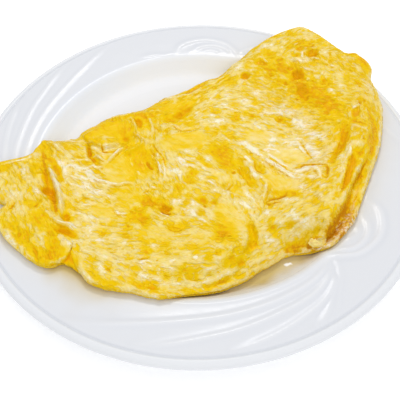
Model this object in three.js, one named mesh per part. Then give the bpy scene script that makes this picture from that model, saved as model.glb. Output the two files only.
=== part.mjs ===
// Folded omelette on a round porcelain plate.
// Millimetres, +Z up. Origin: centre of the plate's foot, on the surface it stands on.
// The omelette lies across the plate from rim to rim: its straight fold is at the
// back (+Y, left to right at FOLD_TILT), its open half-round edge at the front.
import * as THREE from 'three';

// ---------------------------------------------------------------- plate sizes
const PLATE_R = 125;            // outer radius
const PLATE_SEGMENTS = 96;
const BASE_TOP_Z = 5.2;         // inside face of the flat base
const BASE_FLAT_R = 79.5;       // where the flat base starts to turn up
const SHOULDER_R = 92.2;        // top of the well wall
const SHOULDER_Z = 15.5;
const GROOVE_R = 120.4;         // thin groove inside the rolled edge band
const RIM_Z = 17.9;             // rim surface beside the groove
const FOOT_IN_R = 69.5;         // foot ring
const FOOT_OUT_R = 74.5;
const FOOT_H = 1.6;

// Plate profile (radius, height): under the base, round the edge, back over the top.
const plateProfile = [
  [0, FOOT_H],
  [FOOT_IN_R - 1.5, FOOT_H],
  [FOOT_IN_R, 0],
  [FOOT_OUT_R, 0],
  [FOOT_OUT_R + 2, 1.3],
  [82.5, 2.7],
  [90.8, 10.7],
  [94.5, 12.0],
  [110, 13.0],
  [122.4, 13.5],
  [124.5, 14.3],
  [PLATE_R, 15.5],
  [124.4, 16.9],
  [122.9, 17.9],
  [121.3, 18.1],
  [GROOVE_R, 17.5],
  [GROOVE_R - 1, RIM_Z],
  [106, 16.9],
  [95.5, 15.95],
  [SHOULDER_R, SHOULDER_Z],
  [90.0, 14.0],
  [85.2, 7.7],
  [82.7, 5.8],
  [BASE_FLAT_R, BASE_TOP_Z],
  [0, BASE_TOP_Z],
];

// ------------------------------------------------------------- omelette sizes
const CENTRE = [9.0, 0.5];      // middle of the half-moon, in plan
const FOLD_TILT = 33.7;         // degrees, long axis above +X
const HALF_LEN_RIGHT = 121.7;
const HALF_LEN_LEFT = 118.2;
const BACK_DEPTH = 61.2;        // long axis to the straight fold
const FRONT_DEPTH = 93.1;       // long axis to the half-round edge
const BACK_SQUARE = 10.1;       // exponent of the straight side
const FRONT_ROUND = 1.53;       // exponent of the round side
// Lobes and notches of the outline: [height mm, direction deg, half width deg],
// directions counted from the long axis.
const OUTLINE_LOBES = [
  [-7.7, -166.8, 4.8],          // notch beside the lower left lobe
  [2.9, -140.3, 5.1],
  [-6.5, -111.5, 23.8],
  [-16.0, -95.2, 15.1],         // flattened front
  [3.9, -82.2, 4.4],
  [-7.1, -48.8, 26.5],
  [5.3, 1.7, 5.4],              // bulging corner at the right end
  [-11.2, 12.8, 28.6],
  [3.1, 45.7, 3.2],             // far tip of the right end
  [-6.4, 61.0, 28.6],
  [-4.9, 101.8, 10.7],
  [-2.2, 135.1, 1.7],
  [14.4, 141.1, 4.1],
  [-16.0, 144.6, 8.1],          // dent behind the left fold
  [4.7, 145.3, 2.2],
  [5.6, 152.1, 2.1],
  [-6.2, 165.2, 2.4],
  [2.9, 173.6, 4.4],
];
const UNDER_GAP = 0.45;         // clearance between egg and glaze
const FOOT_CLEAR = [1.5, 84, 5];  // extra over the foot of the wall: [mm, radius, half width]
const LIP_CLEAR = [0.5, 93, 4];   // extra over its lip
// Thickness of the edge round the outline: [direction deg, mm]. Thin where the
// leaves lie open at the front, thick along the fold at the back.
const EDGE_THICKNESS = [
  [-180, 4.5], [-150, 3.8], [-120, 4.2], [-90, 3.8], [-60, 3.6], [-30, 4.6],
  [-10, 7.5], [0, 11.5], [15, 11.8], [30, 11.1], [45, 10.3], [60, 10.4],
  [90, 10.4], [120, 9.7], [135, 9.2], [150, 5.9], [165, 5.0], [180, 4.5],
];
const EDGE_ROLL = 14.0;         // width of the round-over from the edge to the top
// Top surface over the plate's centre: height, slopes and curvatures per 100 mm
const CROWN = { z: 20.2, x: -1.5, y: -0.2, xx: 1.3, xy: 2.9, yy: -1.8 };
// Soft folds of the top: [x, y, direction deg, half length, half width, height]
const TOP_FOLDS = [
  [-58, 12, -42, 8, 15.1, 3.0],    // upright fold near the left end
  [-44, -23, -59, 60, 28.4, -4.1], // long hollow over the left of the well
  [-30, -4, -71, 10, 5.8, -2.7],
  [-11, 28, 22, 9, 6.1, -2.3],
  [-4, -72, 3, 43, 13.3, 4.3],     // swelling behind the front margin
  [-3, 9, -11, 13, 6.2, 2.4],
  [16, -7, -51, 26, 7.1, -2.1],
  [33, -61, 22, 15, 7.9, -6.0],
  [45, -66, 24, 60, 8.3, -10.0],   // terrace of the right front
  [55, 86, 41, 35, 26.9, 10.0],    // rise over the rim at the back
  [60, -34, 46, 56, 13.5, 4.5],    // shoulder above the terrace
  [64, -50, 63, 17, 6.6, 10.0],    // step at the right front
  [91, 50, 85, 60, 26.3, 10.0],    // rise over the rim at the right
];
const LEAF_GROOVE = 4.0;        // depth of the slit between the two leaves
const LEAF_STEP = 2.4;          // lower leaf sticks out this far
const SECTORS = 84;             // steps round the outline
const TOP_RINGS = [0.12, 0.24, 0.36, 0.47, 0.57, 0.66, 0.74, 0.81, 0.87, 0.92, 0.96];
// Underside rings: plate radius they follow, and the share of the outline they stay inside
const UNDER_RINGS = [
  [106, 0.95], [95.5, 0.91], [92.2, 0.87], [90, 0.83], [85.2, 0.78],
  [80.5, 0.72], [66, 0.58], [44, 0.38], [22, 0.19],
];

const rad = (d) => (d * Math.PI) / 180;
const smooth = (a, b, x) => {
  const t = Math.min(1, Math.max(0, (x - a) / (b - a)));
  return t * t * (3 - 2 * t);
};
const wrap = (a) => Math.atan2(Math.sin(a), Math.cos(a));

// Outline radius in direction a (radians from the long axis).
function outline(a) {
  const c = Math.cos(a), s = Math.sin(a);
  const half = c > 0 ? HALF_LEN_RIGHT : HALF_LEN_LEFT;
  const depth = s > 0 ? BACK_DEPTH : FRONT_DEPTH;
  const p = s > 0 ? BACK_SQUARE : FRONT_ROUND;
  let r = Math.pow(Math.pow(Math.abs(c) / half, p) + Math.pow(Math.abs(s) / depth, p), -1 / p);
  for (const [h, d, w] of OUTLINE_LOBES) r += h * Math.exp(-((wrap(a - rad(d)) / rad(w)) ** 2));
  return r;
}

// Height of the plate's upper surface at radius r, read from its profile.
const plateTop = plateProfile.slice(16).reverse();
function plateZ(r) {
  for (let i = 0; i + 1 < plateTop.length; i++) {
    const [r0, z0] = plateTop[i], [r1, z1] = plateTop[i + 1];
    if (r <= r1) return z0 + ((z1 - z0) * (r - r0)) / (r1 - r0);
  }
  return RIM_Z;
}

// Height of the underside: resting over the base, up the wall and out on the rim.
function underside(x, y) {
  const r = Math.hypot(x, y);
  let z = plateZ(r) + UNDER_GAP;
  for (const [h, at, w] of [FOOT_CLEAR, LIP_CLEAR]) z += h * Math.exp(-(((r - at) / w) ** 2));
  return z;
}

// Thickness of the edge in direction a.
function edgeThickness(a) {
  const d = THREE.MathUtils.radToDeg(wrap(a));
  for (let i = 0; i + 1 < EDGE_THICKNESS.length; i++) {
    const [d0, t0] = EDGE_THICKNESS[i], [d1, t1] = EDGE_THICKNESS[i + 1];
    if (d <= d1) return t0 + ((t1 - t0) * (d - d0)) / (d1 - d0);
  }
  return EDGE_THICKNESS[0][1];
}

// Height of the folded top away from the edge.
function crown(x, y) {
  const u = x / 100, v = y / 100;
  let z = CROWN.z + CROWN.x * u + CROWN.y * v + CROWN.xx * u * u + CROWN.xy * u * v + CROWN.yy * v * v;
  for (const [cx, cy, dir, len, wid, h] of TOP_FOLDS) {
    const c = Math.cos(rad(dir)), s = Math.sin(rad(dir));
    const a = (x - cx) * c + (y - cy) * s, b = -(x - cx) * s + (y - cy) * c;
    z += h * Math.exp(-((a / len) ** 2) - ((b / wid) ** 2));
  }
  return z;
}

function point(a, r) {
  const b = a + rad(FOLD_TILT);
  return [CENTRE[0] + r * Math.cos(b), CENTRE[1] + r * Math.sin(b)];
}

// How open the leaves are: 0 along the fold at the back, 1 on the right-hand side.
function openness(a) {
  const d = THREE.MathUtils.radToDeg(wrap(a));
  return smooth(2, -14, d) * smooth(-178, -150, d) * (0.35 + 0.65 * smooth(-88, -62, d));
}

// Raise the underside where a flat facet would cut into the plate's curved wall.
// Only vertices from index `first` on (below the slit of the edge) are moved.
function liftClear(verts, tris, first) {
  const STEPS = 6, PASSES = 12;
  for (let pass = 0; pass < PASSES; pass++) {
    const lift = new Float64Array(verts.length / 3);
    for (let t = 0; t < tris.length; t += 3) {
      const id = [tris[t], tris[t + 1], tris[t + 2]];
      if (Math.max(...id) < first) continue;
      for (let i = 0; i <= STEPS; i++) for (let j = 0; j <= STEPS - i; j++) {
        const w = [i / STEPS, j / STEPS, (STEPS - i - j) / STEPS];
        const at = (k) => w[0] * verts[3 * id[0] + k] + w[1] * verts[3 * id[1] + k] + w[2] * verts[3 * id[2] + k];
        const short = plateZ(Math.hypot(at(0), at(1))) + 0.8 * UNDER_GAP - at(2);
        if (short > 0) id.forEach((v, k) => {
          if (v >= first) lift[v] = Math.max(lift[v], short * Math.min(1, 1.2 * w[k] + 0.15));
        });
      }
    }
    lift.forEach((h, v) => { verts[3 * v + 2] += h; });
  }
}

function omelette() {
  const rings = [];
  const ring = (fn) => {
    const row = [];
    for (let i = 0; i < SECTORS; i++) row.push(fn((i / SECTORS) * 2 * Math.PI));
    rings.push(row);
  };
  for (const f of TOP_RINGS) {
    ring((a) => {
      const r = f * (outline(a) - 1.5);
      const [x, y] = point(a, r);
      const [ex, ey] = point(a, outline(a));
      const edgeZ = underside(ex, ey) + edgeThickness(a);
      const q = Math.min(1, (outline(a) - r - 1) / EDGE_ROLL);
      const dome = Math.sqrt(Math.max(0, 1 - (1 - q) ** 2));
      return [x, y, edgeZ + (crown(x, y) - edgeZ) * dome];
    });
  }
  // Edge: top lip, slit between the leaves, lower leaf. inset is from the outline,
  // frac is the height between underside and edge top.
  const edge = [
    (o) => [1.0 + o * LEAF_STEP * 0.9, 0.94],
    (o) => [0.0 + o * LEAF_STEP, 0.74],
    (o) => [0.3 + o * (LEAF_STEP + 0.3), 0.60],
    (o) => [0.2 + o * LEAF_GROOVE, 0.50],
    (o) => [0.2 + o * 1.0, 0.38],
    (o) => [0.5 - o * 0.5, 0.24],
    (o) => [2.2 - o * 0.6, 0.06],
  ];
  for (const e of edge) {
    ring((a) => {
      const [inset, frac] = e(openness(a));
      const r = outline(a);
      const [x, y] = point(a, r - inset);
      return [x, y, underside(x, y) + frac * edgeThickness(a)];
    });
  }
  for (const [plateR, share] of UNDER_RINGS) {
    ring((a) => {
      const b = a + rad(FOLD_TILT);
      const along = CENTRE[0] * Math.cos(b) + CENTRE[1] * Math.sin(b);
      const reach = Math.sqrt(Math.max(0, along ** 2 + plateR ** 2 - CENTRE[0] ** 2 - CENTRE[1] ** 2)) - along;
      const [x, y] = point(a, Math.min(reach, share * (outline(a) - 2)));
      return [x, y, underside(x, y)];
    });
  }
  const verts = [];
  for (const row of rings) for (const p of row) verts.push(...p);
  const top = verts.length / 3;
  const [cx, cy] = CENTRE;
  verts.push(cx, cy, crown(cx, cy));
  const bottom = verts.length / 3;
  verts.push(cx, cy, underside(cx, cy));
  const tris = [];
  const n = SECTORS;
  for (let i = 0; i < n; i++) {
    const j = (i + 1) % n;
    tris.push(top, i, j);
    for (let k = 0; k + 1 < rings.length; k++) {
      const a = k * n + i, b = k * n + j, c = (k + 1) * n + i, d = (k + 1) * n + j;
      tris.push(a, c, d, a, d, b);
    }
    const last = (rings.length - 1) * n;
    tris.push(bottom, last + j, last + i);
  }
  liftClear(verts, tris, (TOP_RINGS.length + 4) * n);
  const g = new THREE.BufferGeometry();
  g.setAttribute('position', new THREE.Float32BufferAttribute(verts, 3));
  g.setIndex(tris);
  g.computeVertexNormals();
  return g;
}

// -------------------------------------------------------------------- meshes
const plateGeometry = new THREE.LatheGeometry(
  plateProfile.map(([r, z]) => new THREE.Vector2(r, z)),
  PLATE_SEGMENTS,
);
plateGeometry.rotateX(Math.PI / 2);          // lathe axis from Y to Z

const plate = new THREE.Mesh(
  plateGeometry,
  new THREE.MeshStandardMaterial({ color: 0xf1f3f6, roughness: 0.12, metalness: 0 }),
);
plate.name = 'plate';

const egg = new THREE.Mesh(
  omelette(),
  new THREE.MeshStandardMaterial({ color: 0xf4c63c, roughness: 0.35, metalness: 0 }),
);
egg.name = 'omelette';

const group = new THREE.Group();
group.add(plate, egg);
export default group;
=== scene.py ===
import bpy
import math
import numpy as np
from mathutils import Matrix, Vector


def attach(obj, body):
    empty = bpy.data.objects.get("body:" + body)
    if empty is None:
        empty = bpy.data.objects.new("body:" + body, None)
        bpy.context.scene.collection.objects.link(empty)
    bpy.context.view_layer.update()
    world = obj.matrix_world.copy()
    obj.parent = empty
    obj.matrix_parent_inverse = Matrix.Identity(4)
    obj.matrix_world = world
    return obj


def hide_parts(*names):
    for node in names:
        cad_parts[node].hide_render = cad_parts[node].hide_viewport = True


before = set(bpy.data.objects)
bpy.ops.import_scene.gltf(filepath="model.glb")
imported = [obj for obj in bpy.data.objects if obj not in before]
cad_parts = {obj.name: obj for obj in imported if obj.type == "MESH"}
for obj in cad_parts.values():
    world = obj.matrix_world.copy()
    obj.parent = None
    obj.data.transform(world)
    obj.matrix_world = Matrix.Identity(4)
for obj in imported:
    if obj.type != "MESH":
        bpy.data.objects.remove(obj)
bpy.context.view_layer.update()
SC = bpy.context.scene
MM = 0.001

# =====================================================================
#  Camera: millimetres, the plate is 250 across and centred on the origin
# =====================================================================
CAM = np.array([0.414, -210.617, 239.950])
C_RIGHT = np.array([0.99986876, -0.01269564, -0.01006387])
C_UP = np.array([0.01620064, 0.78354789, 0.62112016])
C_FWD = np.array([0.0, 0.62120168, -0.78365073])
F_PX = 540.0


def unproject(u, v, z):
    """Plan position of image point (u, v) on the level z; arrays, mm."""
    u, v, z = (np.asarray(a, float) for a in (u, v, z))
    d = (C_FWD[:, None] + ((u - 200) / F_PX)[None] * C_RIGHT[:, None]
         + ((200 - v) / F_PX)[None] * C_UP[:, None])
    k = (z - CAM[2]) / d[2]
    return CAM[0] + k * d[0], CAM[1] + k * d[1]


# =====================================================================
#  Small maths kit
# =====================================================================
def smooth(a, b, x):
    t = np.clip((np.asarray(x, float) - a) / (b - a), 0.0, 1.0)
    return t * t * (3 - 2 * t)


def wrap(a):
    return np.arctan2(np.sin(a), np.cos(a))


def _hash(ix, iy, iz, seed):
    h = (ix.astype(np.int64) * 374761393 + iy.astype(np.int64) * 668265263
         + iz.astype(np.int64) * 2147483647 + seed * 974634777) & 0xFFFFFFFF
    h = ((h ^ (h >> 13)) * 1274126177) & 0xFFFFFFFF
    h = ((h ^ (h >> 16)) * 2246822519) & 0xFFFFFFFF
    return h ^ (h >> 15)


def noise2(x, y, seed=0):
    """Gradient noise, about -1..1."""
    x = np.asarray(x, float)
    y = np.asarray(y, float)
    x0 = np.floor(x)
    y0 = np.floor(y)
    fx, fy = x - x0, y - y0
    ux = fx * fx * fx * (fx * (fx * 6 - 15) + 10)
    uy = fy * fy * fy * (fy * (fy * 6 - 15) + 10)
    out = []
    for dx in (0, 1):
        for dy in (0, 1):
            h = _hash(x0 + dx, y0 + dy, x0 * 0, seed) / 4294967296.0 * 2 * np.pi
            out.append(np.cos(h) * (fx - dx) + np.sin(h) * (fy - dy))
    n00, n01, n10, n11 = out
    a = n00 + ux * (n10 - n00)
    b = n01 + ux * (n11 - n01)
    return (a + uy * (b - a)) * 1.5


def fbm2(x, y, seed=0, octaves=3, gain=0.5):
    s, amp, tot = 0.0, 1.0, 0.0
    for k in range(octaves):
        s = s + amp * noise2(x * 2 ** k + 17.3 * k, y * 2 ** k - 9.1 * k, seed + 31 * k)
        tot += amp
        amp *= gain
    return s / tot


def ridged2(x, y, seed=0, octaves=2):
    """Thin raised lines, 0..1."""
    s, amp, tot = 0.0, 1.0, 0.0
    for k in range(octaves):
        n = 1 - np.abs(noise2(x * 2 ** k + 5.7 * k, y * 2 ** k + 3.3 * k, seed + 13 * k)) * 1.6
        s = s + amp * np.clip(n, 0, 1) ** 2.5
        tot += amp
        amp *= 0.55
    return s / tot


def spline(pts, n=5):
    """Catmull-Rom through the points."""
    p = np.asarray(pts, float)
    if len(p) < 3:
        t = np.linspace(0, 1, n + 1)[:, None]
        return p[0] + (p[-1] - p[0]) * t
    q = np.vstack([2 * p[0] - p[1], p, 2 * p[-1] - p[-2]])
    out = []
    for i in range(1, len(q) - 2):
        for t in np.linspace(0, 1, n, endpoint=False):
            a, b, c, d = q[i - 1], q[i], q[i + 1], q[i + 2]
            out.append(0.5 * (2 * b + (c - a) * t + (2 * a - 5 * b + 4 * c - d) * t * t
                              + (3 * b - a - 3 * c + d) * t ** 3))
    out.append(p[-1])
    return np.array(out)


def near(X, Y, line, reach):
    """Points within reach of a polyline: index, distance, place along 0..1, side (+1 left of its direction), along, across unit vectors."""
    lo, hi = line.min(0) - reach, line.max(0) + reach
    idx = np.nonzero((X > lo[0]) & (X < hi[0]) & (Y > lo[1]) & (Y < hi[1]))[0]
    if len(idx) == 0:
        z = np.zeros(0)
        return idx, z, z, z, np.zeros((0, 2))
    A, B = line[:-1], line[1:]
    AB = B - A
    L2 = (AB ** 2).sum(1) + 1e-12
    seg_len = np.sqrt(L2)
    cum = np.r_[0, np.cumsum(seg_len)]
    P = np.stack([X[idx], Y[idx]], 1)
    best = np.full(len(idx), 1e18)
    arc = np.zeros(len(idx))
    side = np.ones(len(idx))
    nrm = np.zeros((len(idx), 2))
    for k in range(len(A)):
        w = P - A[k]
        t = np.clip((w @ AB[k]) / L2[k], 0, 1)
        d = w - t[:, None] * AB[k]
        d2 = (d ** 2).sum(1)
        m = d2 < best
        best[m] = d2[m]
        arc[m] = (cum[k] + t * seg_len[k])[m]
        cr = AB[k][0] * w[:, 1] - AB[k][1] * w[:, 0]
        side[m] = np.where(cr[m] >= 0, 1.0, -1.0)
        nrm[m] = np.array([-AB[k][1], AB[k][0]]) / seg_len[k]
    dist = np.sqrt(best)
    m = dist < reach
    return idx[m], dist[m], arc[m] / cum[-1], side[m], nrm[m]


# =====================================================================
#  Meshes from rings of points
# =====================================================================
def zip_rings(ta, ia, tb, ib):
    """Triangles between two closed rings with sorted parameters ta, tb in 0..1 and vertex numbers ia, ib."""
    na, nb = len(ta), len(tb)
    tris = []
    i = j = 0
    while i < na or j < nb:
        a, b = ia[i % na], ib[j % nb]
        ta_next = ta[i + 1] if i + 1 < na else (1.0 + ta[0] if i < na else 9.0)
        tb_next = tb[j + 1] if j + 1 < nb else (1.0 + tb[0] if j < nb else 9.0)
        if (ta_next <= tb_next and i < na) or j >= nb:
            c = ia[(i + 1) % na]
            tris.append((a, b, c))
            i += 1
        else:
            c = ib[(j + 1) % nb]
            tris.append((a, b, c))
            j += 1
    return tris


def new_object(name, verts_mm, tris, flip=False):
    v = np.asarray(verts_mm, float) * MM
    t = np.asarray(tris, int)
    good = (t[:, 0] != t[:, 1]) & (t[:, 1] != t[:, 2]) & (t[:, 0] != t[:, 2])
    t = t[good]
    if flip:
        t = t[:, ::-1]
    me = bpy.data.meshes.new(name)
    me.vertices.add(len(v))
    me.vertices.foreach_set("co", v.astype(np.float32).ravel())
    me.loops.add(len(t) * 3)
    me.polygons.add(len(t))
    me.loops.foreach_set("vertex_index", t.astype(np.int32).ravel())
    me.polygons.foreach_set("loop_start", np.arange(0, len(t) * 3, 3, dtype=np.int32))
    me.update(calc_edges=True)
    me.validate()
    me.polygons.foreach_set("use_smooth", np.ones(len(me.polygons), bool))
    ob = bpy.data.objects.new(name, me)
    SC.collection.objects.link(ob)
    return ob


def set_colour(ob, name, rgba):
    at = ob.data.attributes.new(name, "FLOAT_COLOR", "POINT")
    at.data.foreach_set("color", np.asarray(rgba, np.float32).ravel())


# =====================================================================
#  Plate
# =====================================================================
RIM_IN, RIM_OUT = 92.6, 119.6        # where the embossing lies


def rim_height(r):
    return np.interp(r, [92.2, 95.5, 106.0, 119.4], [15.5, 15.95, 16.9, 17.9])


WELL_R = [0, 76, 79.8, 81.4, 82.8, 83.9, 84.9, 86.0, 87.4, 88.8, 89.9, 90.7, 91.4, 92.0, 92.6, 95.5, 106.0, 119.4, 130]
WELL_Z = [5.15, 5.2, 5.25, 5.4, 5.75, 6.35, 7.3, 8.6, 10.4, 12.2, 13.6, 14.4, 14.95, 15.3, 15.55, 15.95, 16.9, 17.9, 18.6]

# Embossed swirl, one third of the rim: (degrees, radius) from the fan's origin.
FAN = [
    # points, height, half width
    ([(0.5, 95.2), (-4.7, 97.6), (-10, 98.9), (-20.6, 99.6), (-31.9, 100.6), (-44.3, 102.6), (-52, 105.2), (-59.4, 109.0), (-66.2, 113.8), (-72.7, 119.0)], 0.85, 1.15),
    ([(-1.0, 98.4), (-9.1, 103.6), (-16.7, 105.3), (-22.4, 106.1), (-33, 108.9), (-42, 111.6), (-50, 115.6), (-56.5, 119.2)], 0.85, 1.10),
    ([(-2.2, 101.2), (-8.7, 108.4), (-17, 111.9), (-24, 114.6), (-30, 116.8), (-35.5, 119.2)], 0.80, 1.05),
    ([(-3.6, 104.0), (-7.2, 108.8), (-12.2, 115.2), (-16.4, 119.2)], 0.70, 1.0),
    ([(1.2, 96.2), (-0.6, 101.0), (-3.1, 105.3), (-6.8, 111.0), (-10.2, 117.0)], 0.55, 1.0),
    ([(-1.2, 93.6), (-15.4, 93.4), (-36.4, 93.3), (-60, 93.3), (-86, 93.3), (-106, 93.6)], 0.35, 1.1),
    # curl: outer and inner petal
    ([(1.0, 93.6), (3.4, 98.0), (6.6, 102.8), (10.8, 105.6), (15.2, 106.7), (20.0, 105.0), (24.6, 100.8), (26.4, 95.0)], 0.95, 1.25),
    ([(4.5, 95.0), (7.6, 99.6), (12.0, 101.4), (16.4, 99.9), (20.0, 95.6)], 0.85, 1.15),
    ([(9.0, 94.6), (12.4, 97.0), (16.0, 94.6)], 0.5, 1.1),
    ([(26.4, 95.0), (31.5, 94.2), (35.0, 96.4), (39.5, 97.0)], 0.5, 1.1),
]
FAN_ORIGINS = (-48.0, 72.0, 192.0)


def rim_relief(X, Y):
    """Raised lines with hollow flutes between them, and a mask of painted shade for the flutes."""
    h = np.zeros(len(X))
    low = np.zeros(len(X))
    for origin in FAN_ORIGINS:
        for pts, height, width in FAN:
            p = spline(pts, 5)
            a = np.radians(p[:, 0] + origin)
            line = np.stack([p[:, 1] * np.cos(a), p[:, 1] * np.sin(a)], 1)
            idx, d, t, side, _ = near(X, Y, line, width * 5)
            taper = smooth(0, 0.10, t) * 0.75 + 0.25
            taper *= 1 - 0.65 * smooth(0.8, 1.0, t)
            # sharp crest, soft shoulder on the outer side
            w = np.where(side > 0, width * 1.25, width * 2.1)
            prof = 0.28 * np.exp(-d / (w * 0.75)) + 0.72 * np.exp(-(d / w) ** 2)
            h[idx] = np.maximum(h[idx], 0.60 * height * taper * prof)
            # painted shade in the flute beside each crest, stronger on its outer side
            foot = np.where(side > 0, 0.35 * np.exp(-((d - 1.6 * width) / (0.8 * width)) ** 2), np.exp(-((d - 2.3 * width) / (1.3 * width)) ** 2))
            low[idx] = np.maximum(low[idx], taper * foot * min(1.0, height / 0.7))
    return h, low


# Oily, buttery film on the glaze beside the omelette, partly painted warm shade under the omelette's edge, fading away
# from that edge:
# (x in plan, strength at the edge, fade length mm, how squarely it ends)
OIL_FILM_AND_WARM_SHADE = [
    (-115, 0.40, 2.0, 1.2), (-98, 0.46, 2.2, 1.2), (-93, 0.14, 1.8, 1.2), (-87, 0.06, 1.5, 1.2), (-80, 0.22, 1.8, 1.2), (-76, 0.50, 2.6, 1.2), (-71, 1.00, 4.8, 1.2), (-66, 1.12, 5.8, 1.35),
    (-61, 1.08, 6.2, 1.35), (-54, 0.88, 5.2, 1.3), (-34, 0.48, 3.2, 1.4), (-22, 0.18, 2.4, 1.4),
    (-5, 0.55, 2.8, 1.4), (8, 0.62, 2.6, 1.5), (20, 0.95, 4.0, 1.8), (31, 1.15, 7.5, 3.0), (43, 0.90, 7.5, 3.0), (51, 1.00, 6.0, 2.4), (61, 0.50, 1.8, 1.5),
    (74, 0.25, 2.2, 1.2), (90, 0.20, 5.0, 1.2), (120, 0.20, 6.0, 1.2),
]
# painted glint spots on the wall of the well, as image points
PAINTED_GLINT_SPOTS = [(285.5, 265), (290.5, 263.5)]


def on_plate(points):
    """Plan positions of image points that lie on the glaze."""
    p = np.asarray(points, float)
    z = np.full(len(p), 12.0)
    for _ in range(8):
        x, y = unproject(p[:, 0], p[:, 1], z)
        z = 0.5 * z + 0.5 * np.interp(np.hypot(x, y), WELL_R, WELL_Z)
    return np.stack([x, y], 1)


def oil_film_and_warm_shade(x, y):
    s = np.zeros(len(x))
    T = np.array(OIL_FILM_AND_WARM_SHADE)
    i, d, t, _, _ = near(x, y, np.vstack([OUT[::4], OUT[:1]]), 24.0)
    deg = np.degrees(wrap(np.arctan2(y[i] - CENTRE[1], x[i] - CENTRE[0]) - TILT))
    # the painted warm shade lies along the front of the omelette and hardly along its back fold
    back = smooth(8, 25, deg) * (1 - smooth(150, 170, deg))
    fade = np.interp(x[i], T[:, 0], T[:, 2]) * (1 + 0.30 * noise2(x[i] / 9, y[i] / 9, 91))
    s[i] = np.interp(x[i], T[:, 0], T[:, 1]) * (1 - 0.9 * back) * np.exp(-(d / fade) ** np.interp(x[i], T[:, 0], T[:, 3]))
    s = np.clip(s, 0, 1)
    # the painted glint spots clear the oily film and take a bright glaze colour
    i, d, t, _, _ = near(x, y, on_plate(PAINTED_GLINT_SPOTS), 4.0)
    k = 1 - smooth(0.35, 0.85, d)
    s[i] *= 1 - k
    glint_spot = np.zeros(len(x))
    glint_spot[i] = k
    return s, glint_spot


def build_plate():
    prof = [  # (radius, height, points round)
        (0.0, 1.6, 1), (30, 1.6, 60), (66.5, 1.6, 150), (68.4, 1.45, 180), (69.3, 0.7, 180), (70.2, 0.12, 180), (71.0, 0.0, 180),
        (73.6, 0.0, 180), (74.4, 0.14, 180), (75.2, 0.75, 180), (76.8, 1.35, 180), (79.6, 1.9, 200), (82.0, 2.7, 200), (84.0, 4.1, 200),
        (88.5, 8.7, 220), (90.8, 10.5, 220), (92.8, 11.5, 240), (95.5, 12.05, 240), (103, 12.65, 260), (112, 13.1, 280), (119, 13.35, 300),
        (122.0, 13.45, 360), (123.5, 13.7, 400), (124.4, 14.25, 480), (124.85, 14.9, 480), (125.0, 15.5, 480), (124.9, 16.1, 480), (124.5, 16.75, 480),
        (123.8, 17.35, 480), (122.9, 17.8, 480), (122.1, 18.0, 480), (121.5, 17.95, 480), (121.05, 17.7, 480), (120.7, 17.4, 480), (120.35, 17.25, 480),
        (120.0, 17.4, 600), (119.7, 17.75, 900),
    ]
    for r in np.arange(119.2, 92.9, -0.7):
        prof.append((r, float(rim_height(r)), 900))
    prof += [(92.5, 15.55, 800), (92.0, 15.3, 600), (91.4, 14.95, 480), (90.7, 14.4, 480), (89.9, 13.6, 400), (88.8, 12.2, 400), (87.4, 10.4, 360),
             (86.0, 8.6, 360), (84.9, 7.3, 360), (83.9, 6.35, 360), (82.8, 5.75, 360), (81.4, 5.4, 300), (79.8, 5.25, 300), (77.5, 5.2, 300), (75, 5.2, 280),
             (70, 5.2, 240), (55, 5.18, 180), (40, 5.15, 120), (25, 5.12, 90), (12, 5.1, 48), (0.0, 5.1, 1)]
    # the wall of the well carries the fine oily film and painted warm shade, so it is cut finer
    k0 = next(k for k, q in enumerate(prof) if q[:2] == (92.5, 15.55))
    k1 = next(k for k, q in enumerate(prof) if q[:2] == (77.5, 5.2))
    wall = []
    for (ra, za, na), (rb, zb, nb) in zip(prof[k0:k1], prof[k0 + 1:k1 + 1]):
        m = max(1, int(round(math.hypot(ra - rb, za - zb) / 0.75)))
        for j in range(m):
            f = j / m
            wall.append((ra + (rb - ra) * f, za + (zb - za) * f, 720))
    prof = prof[:k0] + wall + prof[k1:]
    verts, rings, count = [], [], 0
    for r, z, n in prof:
        if r == 0:
            verts.append(np.array([[0, 0, z]]))
            rings.append((np.zeros(1), np.array([count])))
            count += 1
            continue
        t = np.arange(n) / n
        x, y = r * np.cos(2 * np.pi * t), r * np.sin(2 * np.pi * t)
        verts.append(np.stack([x, y, np.full(n, z)], 1))
        rings.append((t, np.arange(count, count + n)))
        count += n
    V = np.vstack(verts)
    R = np.hypot(V[:, 0], V[:, 1])
    top = (R > 92.2) & (R < RIM_OUT + 0.3) & (V[:, 2] > 15)
    i = np.nonzero(top)[0]
    rel, low = rim_relief(V[i, 0], V[i, 1])
    edge = smooth(92.2, 93.6, R[i]) * (1 - smooth(118.2, 119.8, R[i]))
    rel *= edge
    # masks of painted highlight along the crests and painted shade in the flutes
    glaze = np.zeros((len(V), 2))
    glaze[i, 0] = smooth(0.20, 0.58, rel)
    glaze[i, 1] = low * edge * (1 - glaze[i, 0])
    # gentle flutes sink a little between the crests
    V[i, 2] += rel - 0.10
    tris = []
    for (ta, ia), (tb, ib) in zip(rings[:-1], rings[1:]):
        if len(ta) == 1:
            tris += [(ia[0], ib[k], ib[(k + 1) % len(ib)]) for k in range(len(ib))]
        elif len(tb) == 1:
            tris += [(ia[k], ib[0], ia[(k + 1) % len(ia)]) for k in range(len(ia))]
        else:
            tris += zip_rings(ta, ia, tb, ib)
    ob = new_object("porcelain_plate", V, tris)
    # oily film with painted warm shade beside the omelette, and painted glint spots, on the glaze
    oil_and_warm_shade, glint_spot = oil_film_and_warm_shade(V[:, 0], V[:, 1])
    up = V[:, 2] > np.interp(R, WELL_R, WELL_Z) - 0.8
    set_colour(ob, "oil_film_and_painted_light", np.stack([oil_and_warm_shade * up, glint_spot * up, glaze[:, 0], glaze[:, 1]], 1))
    fix_normals(ob)
    return ob


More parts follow.
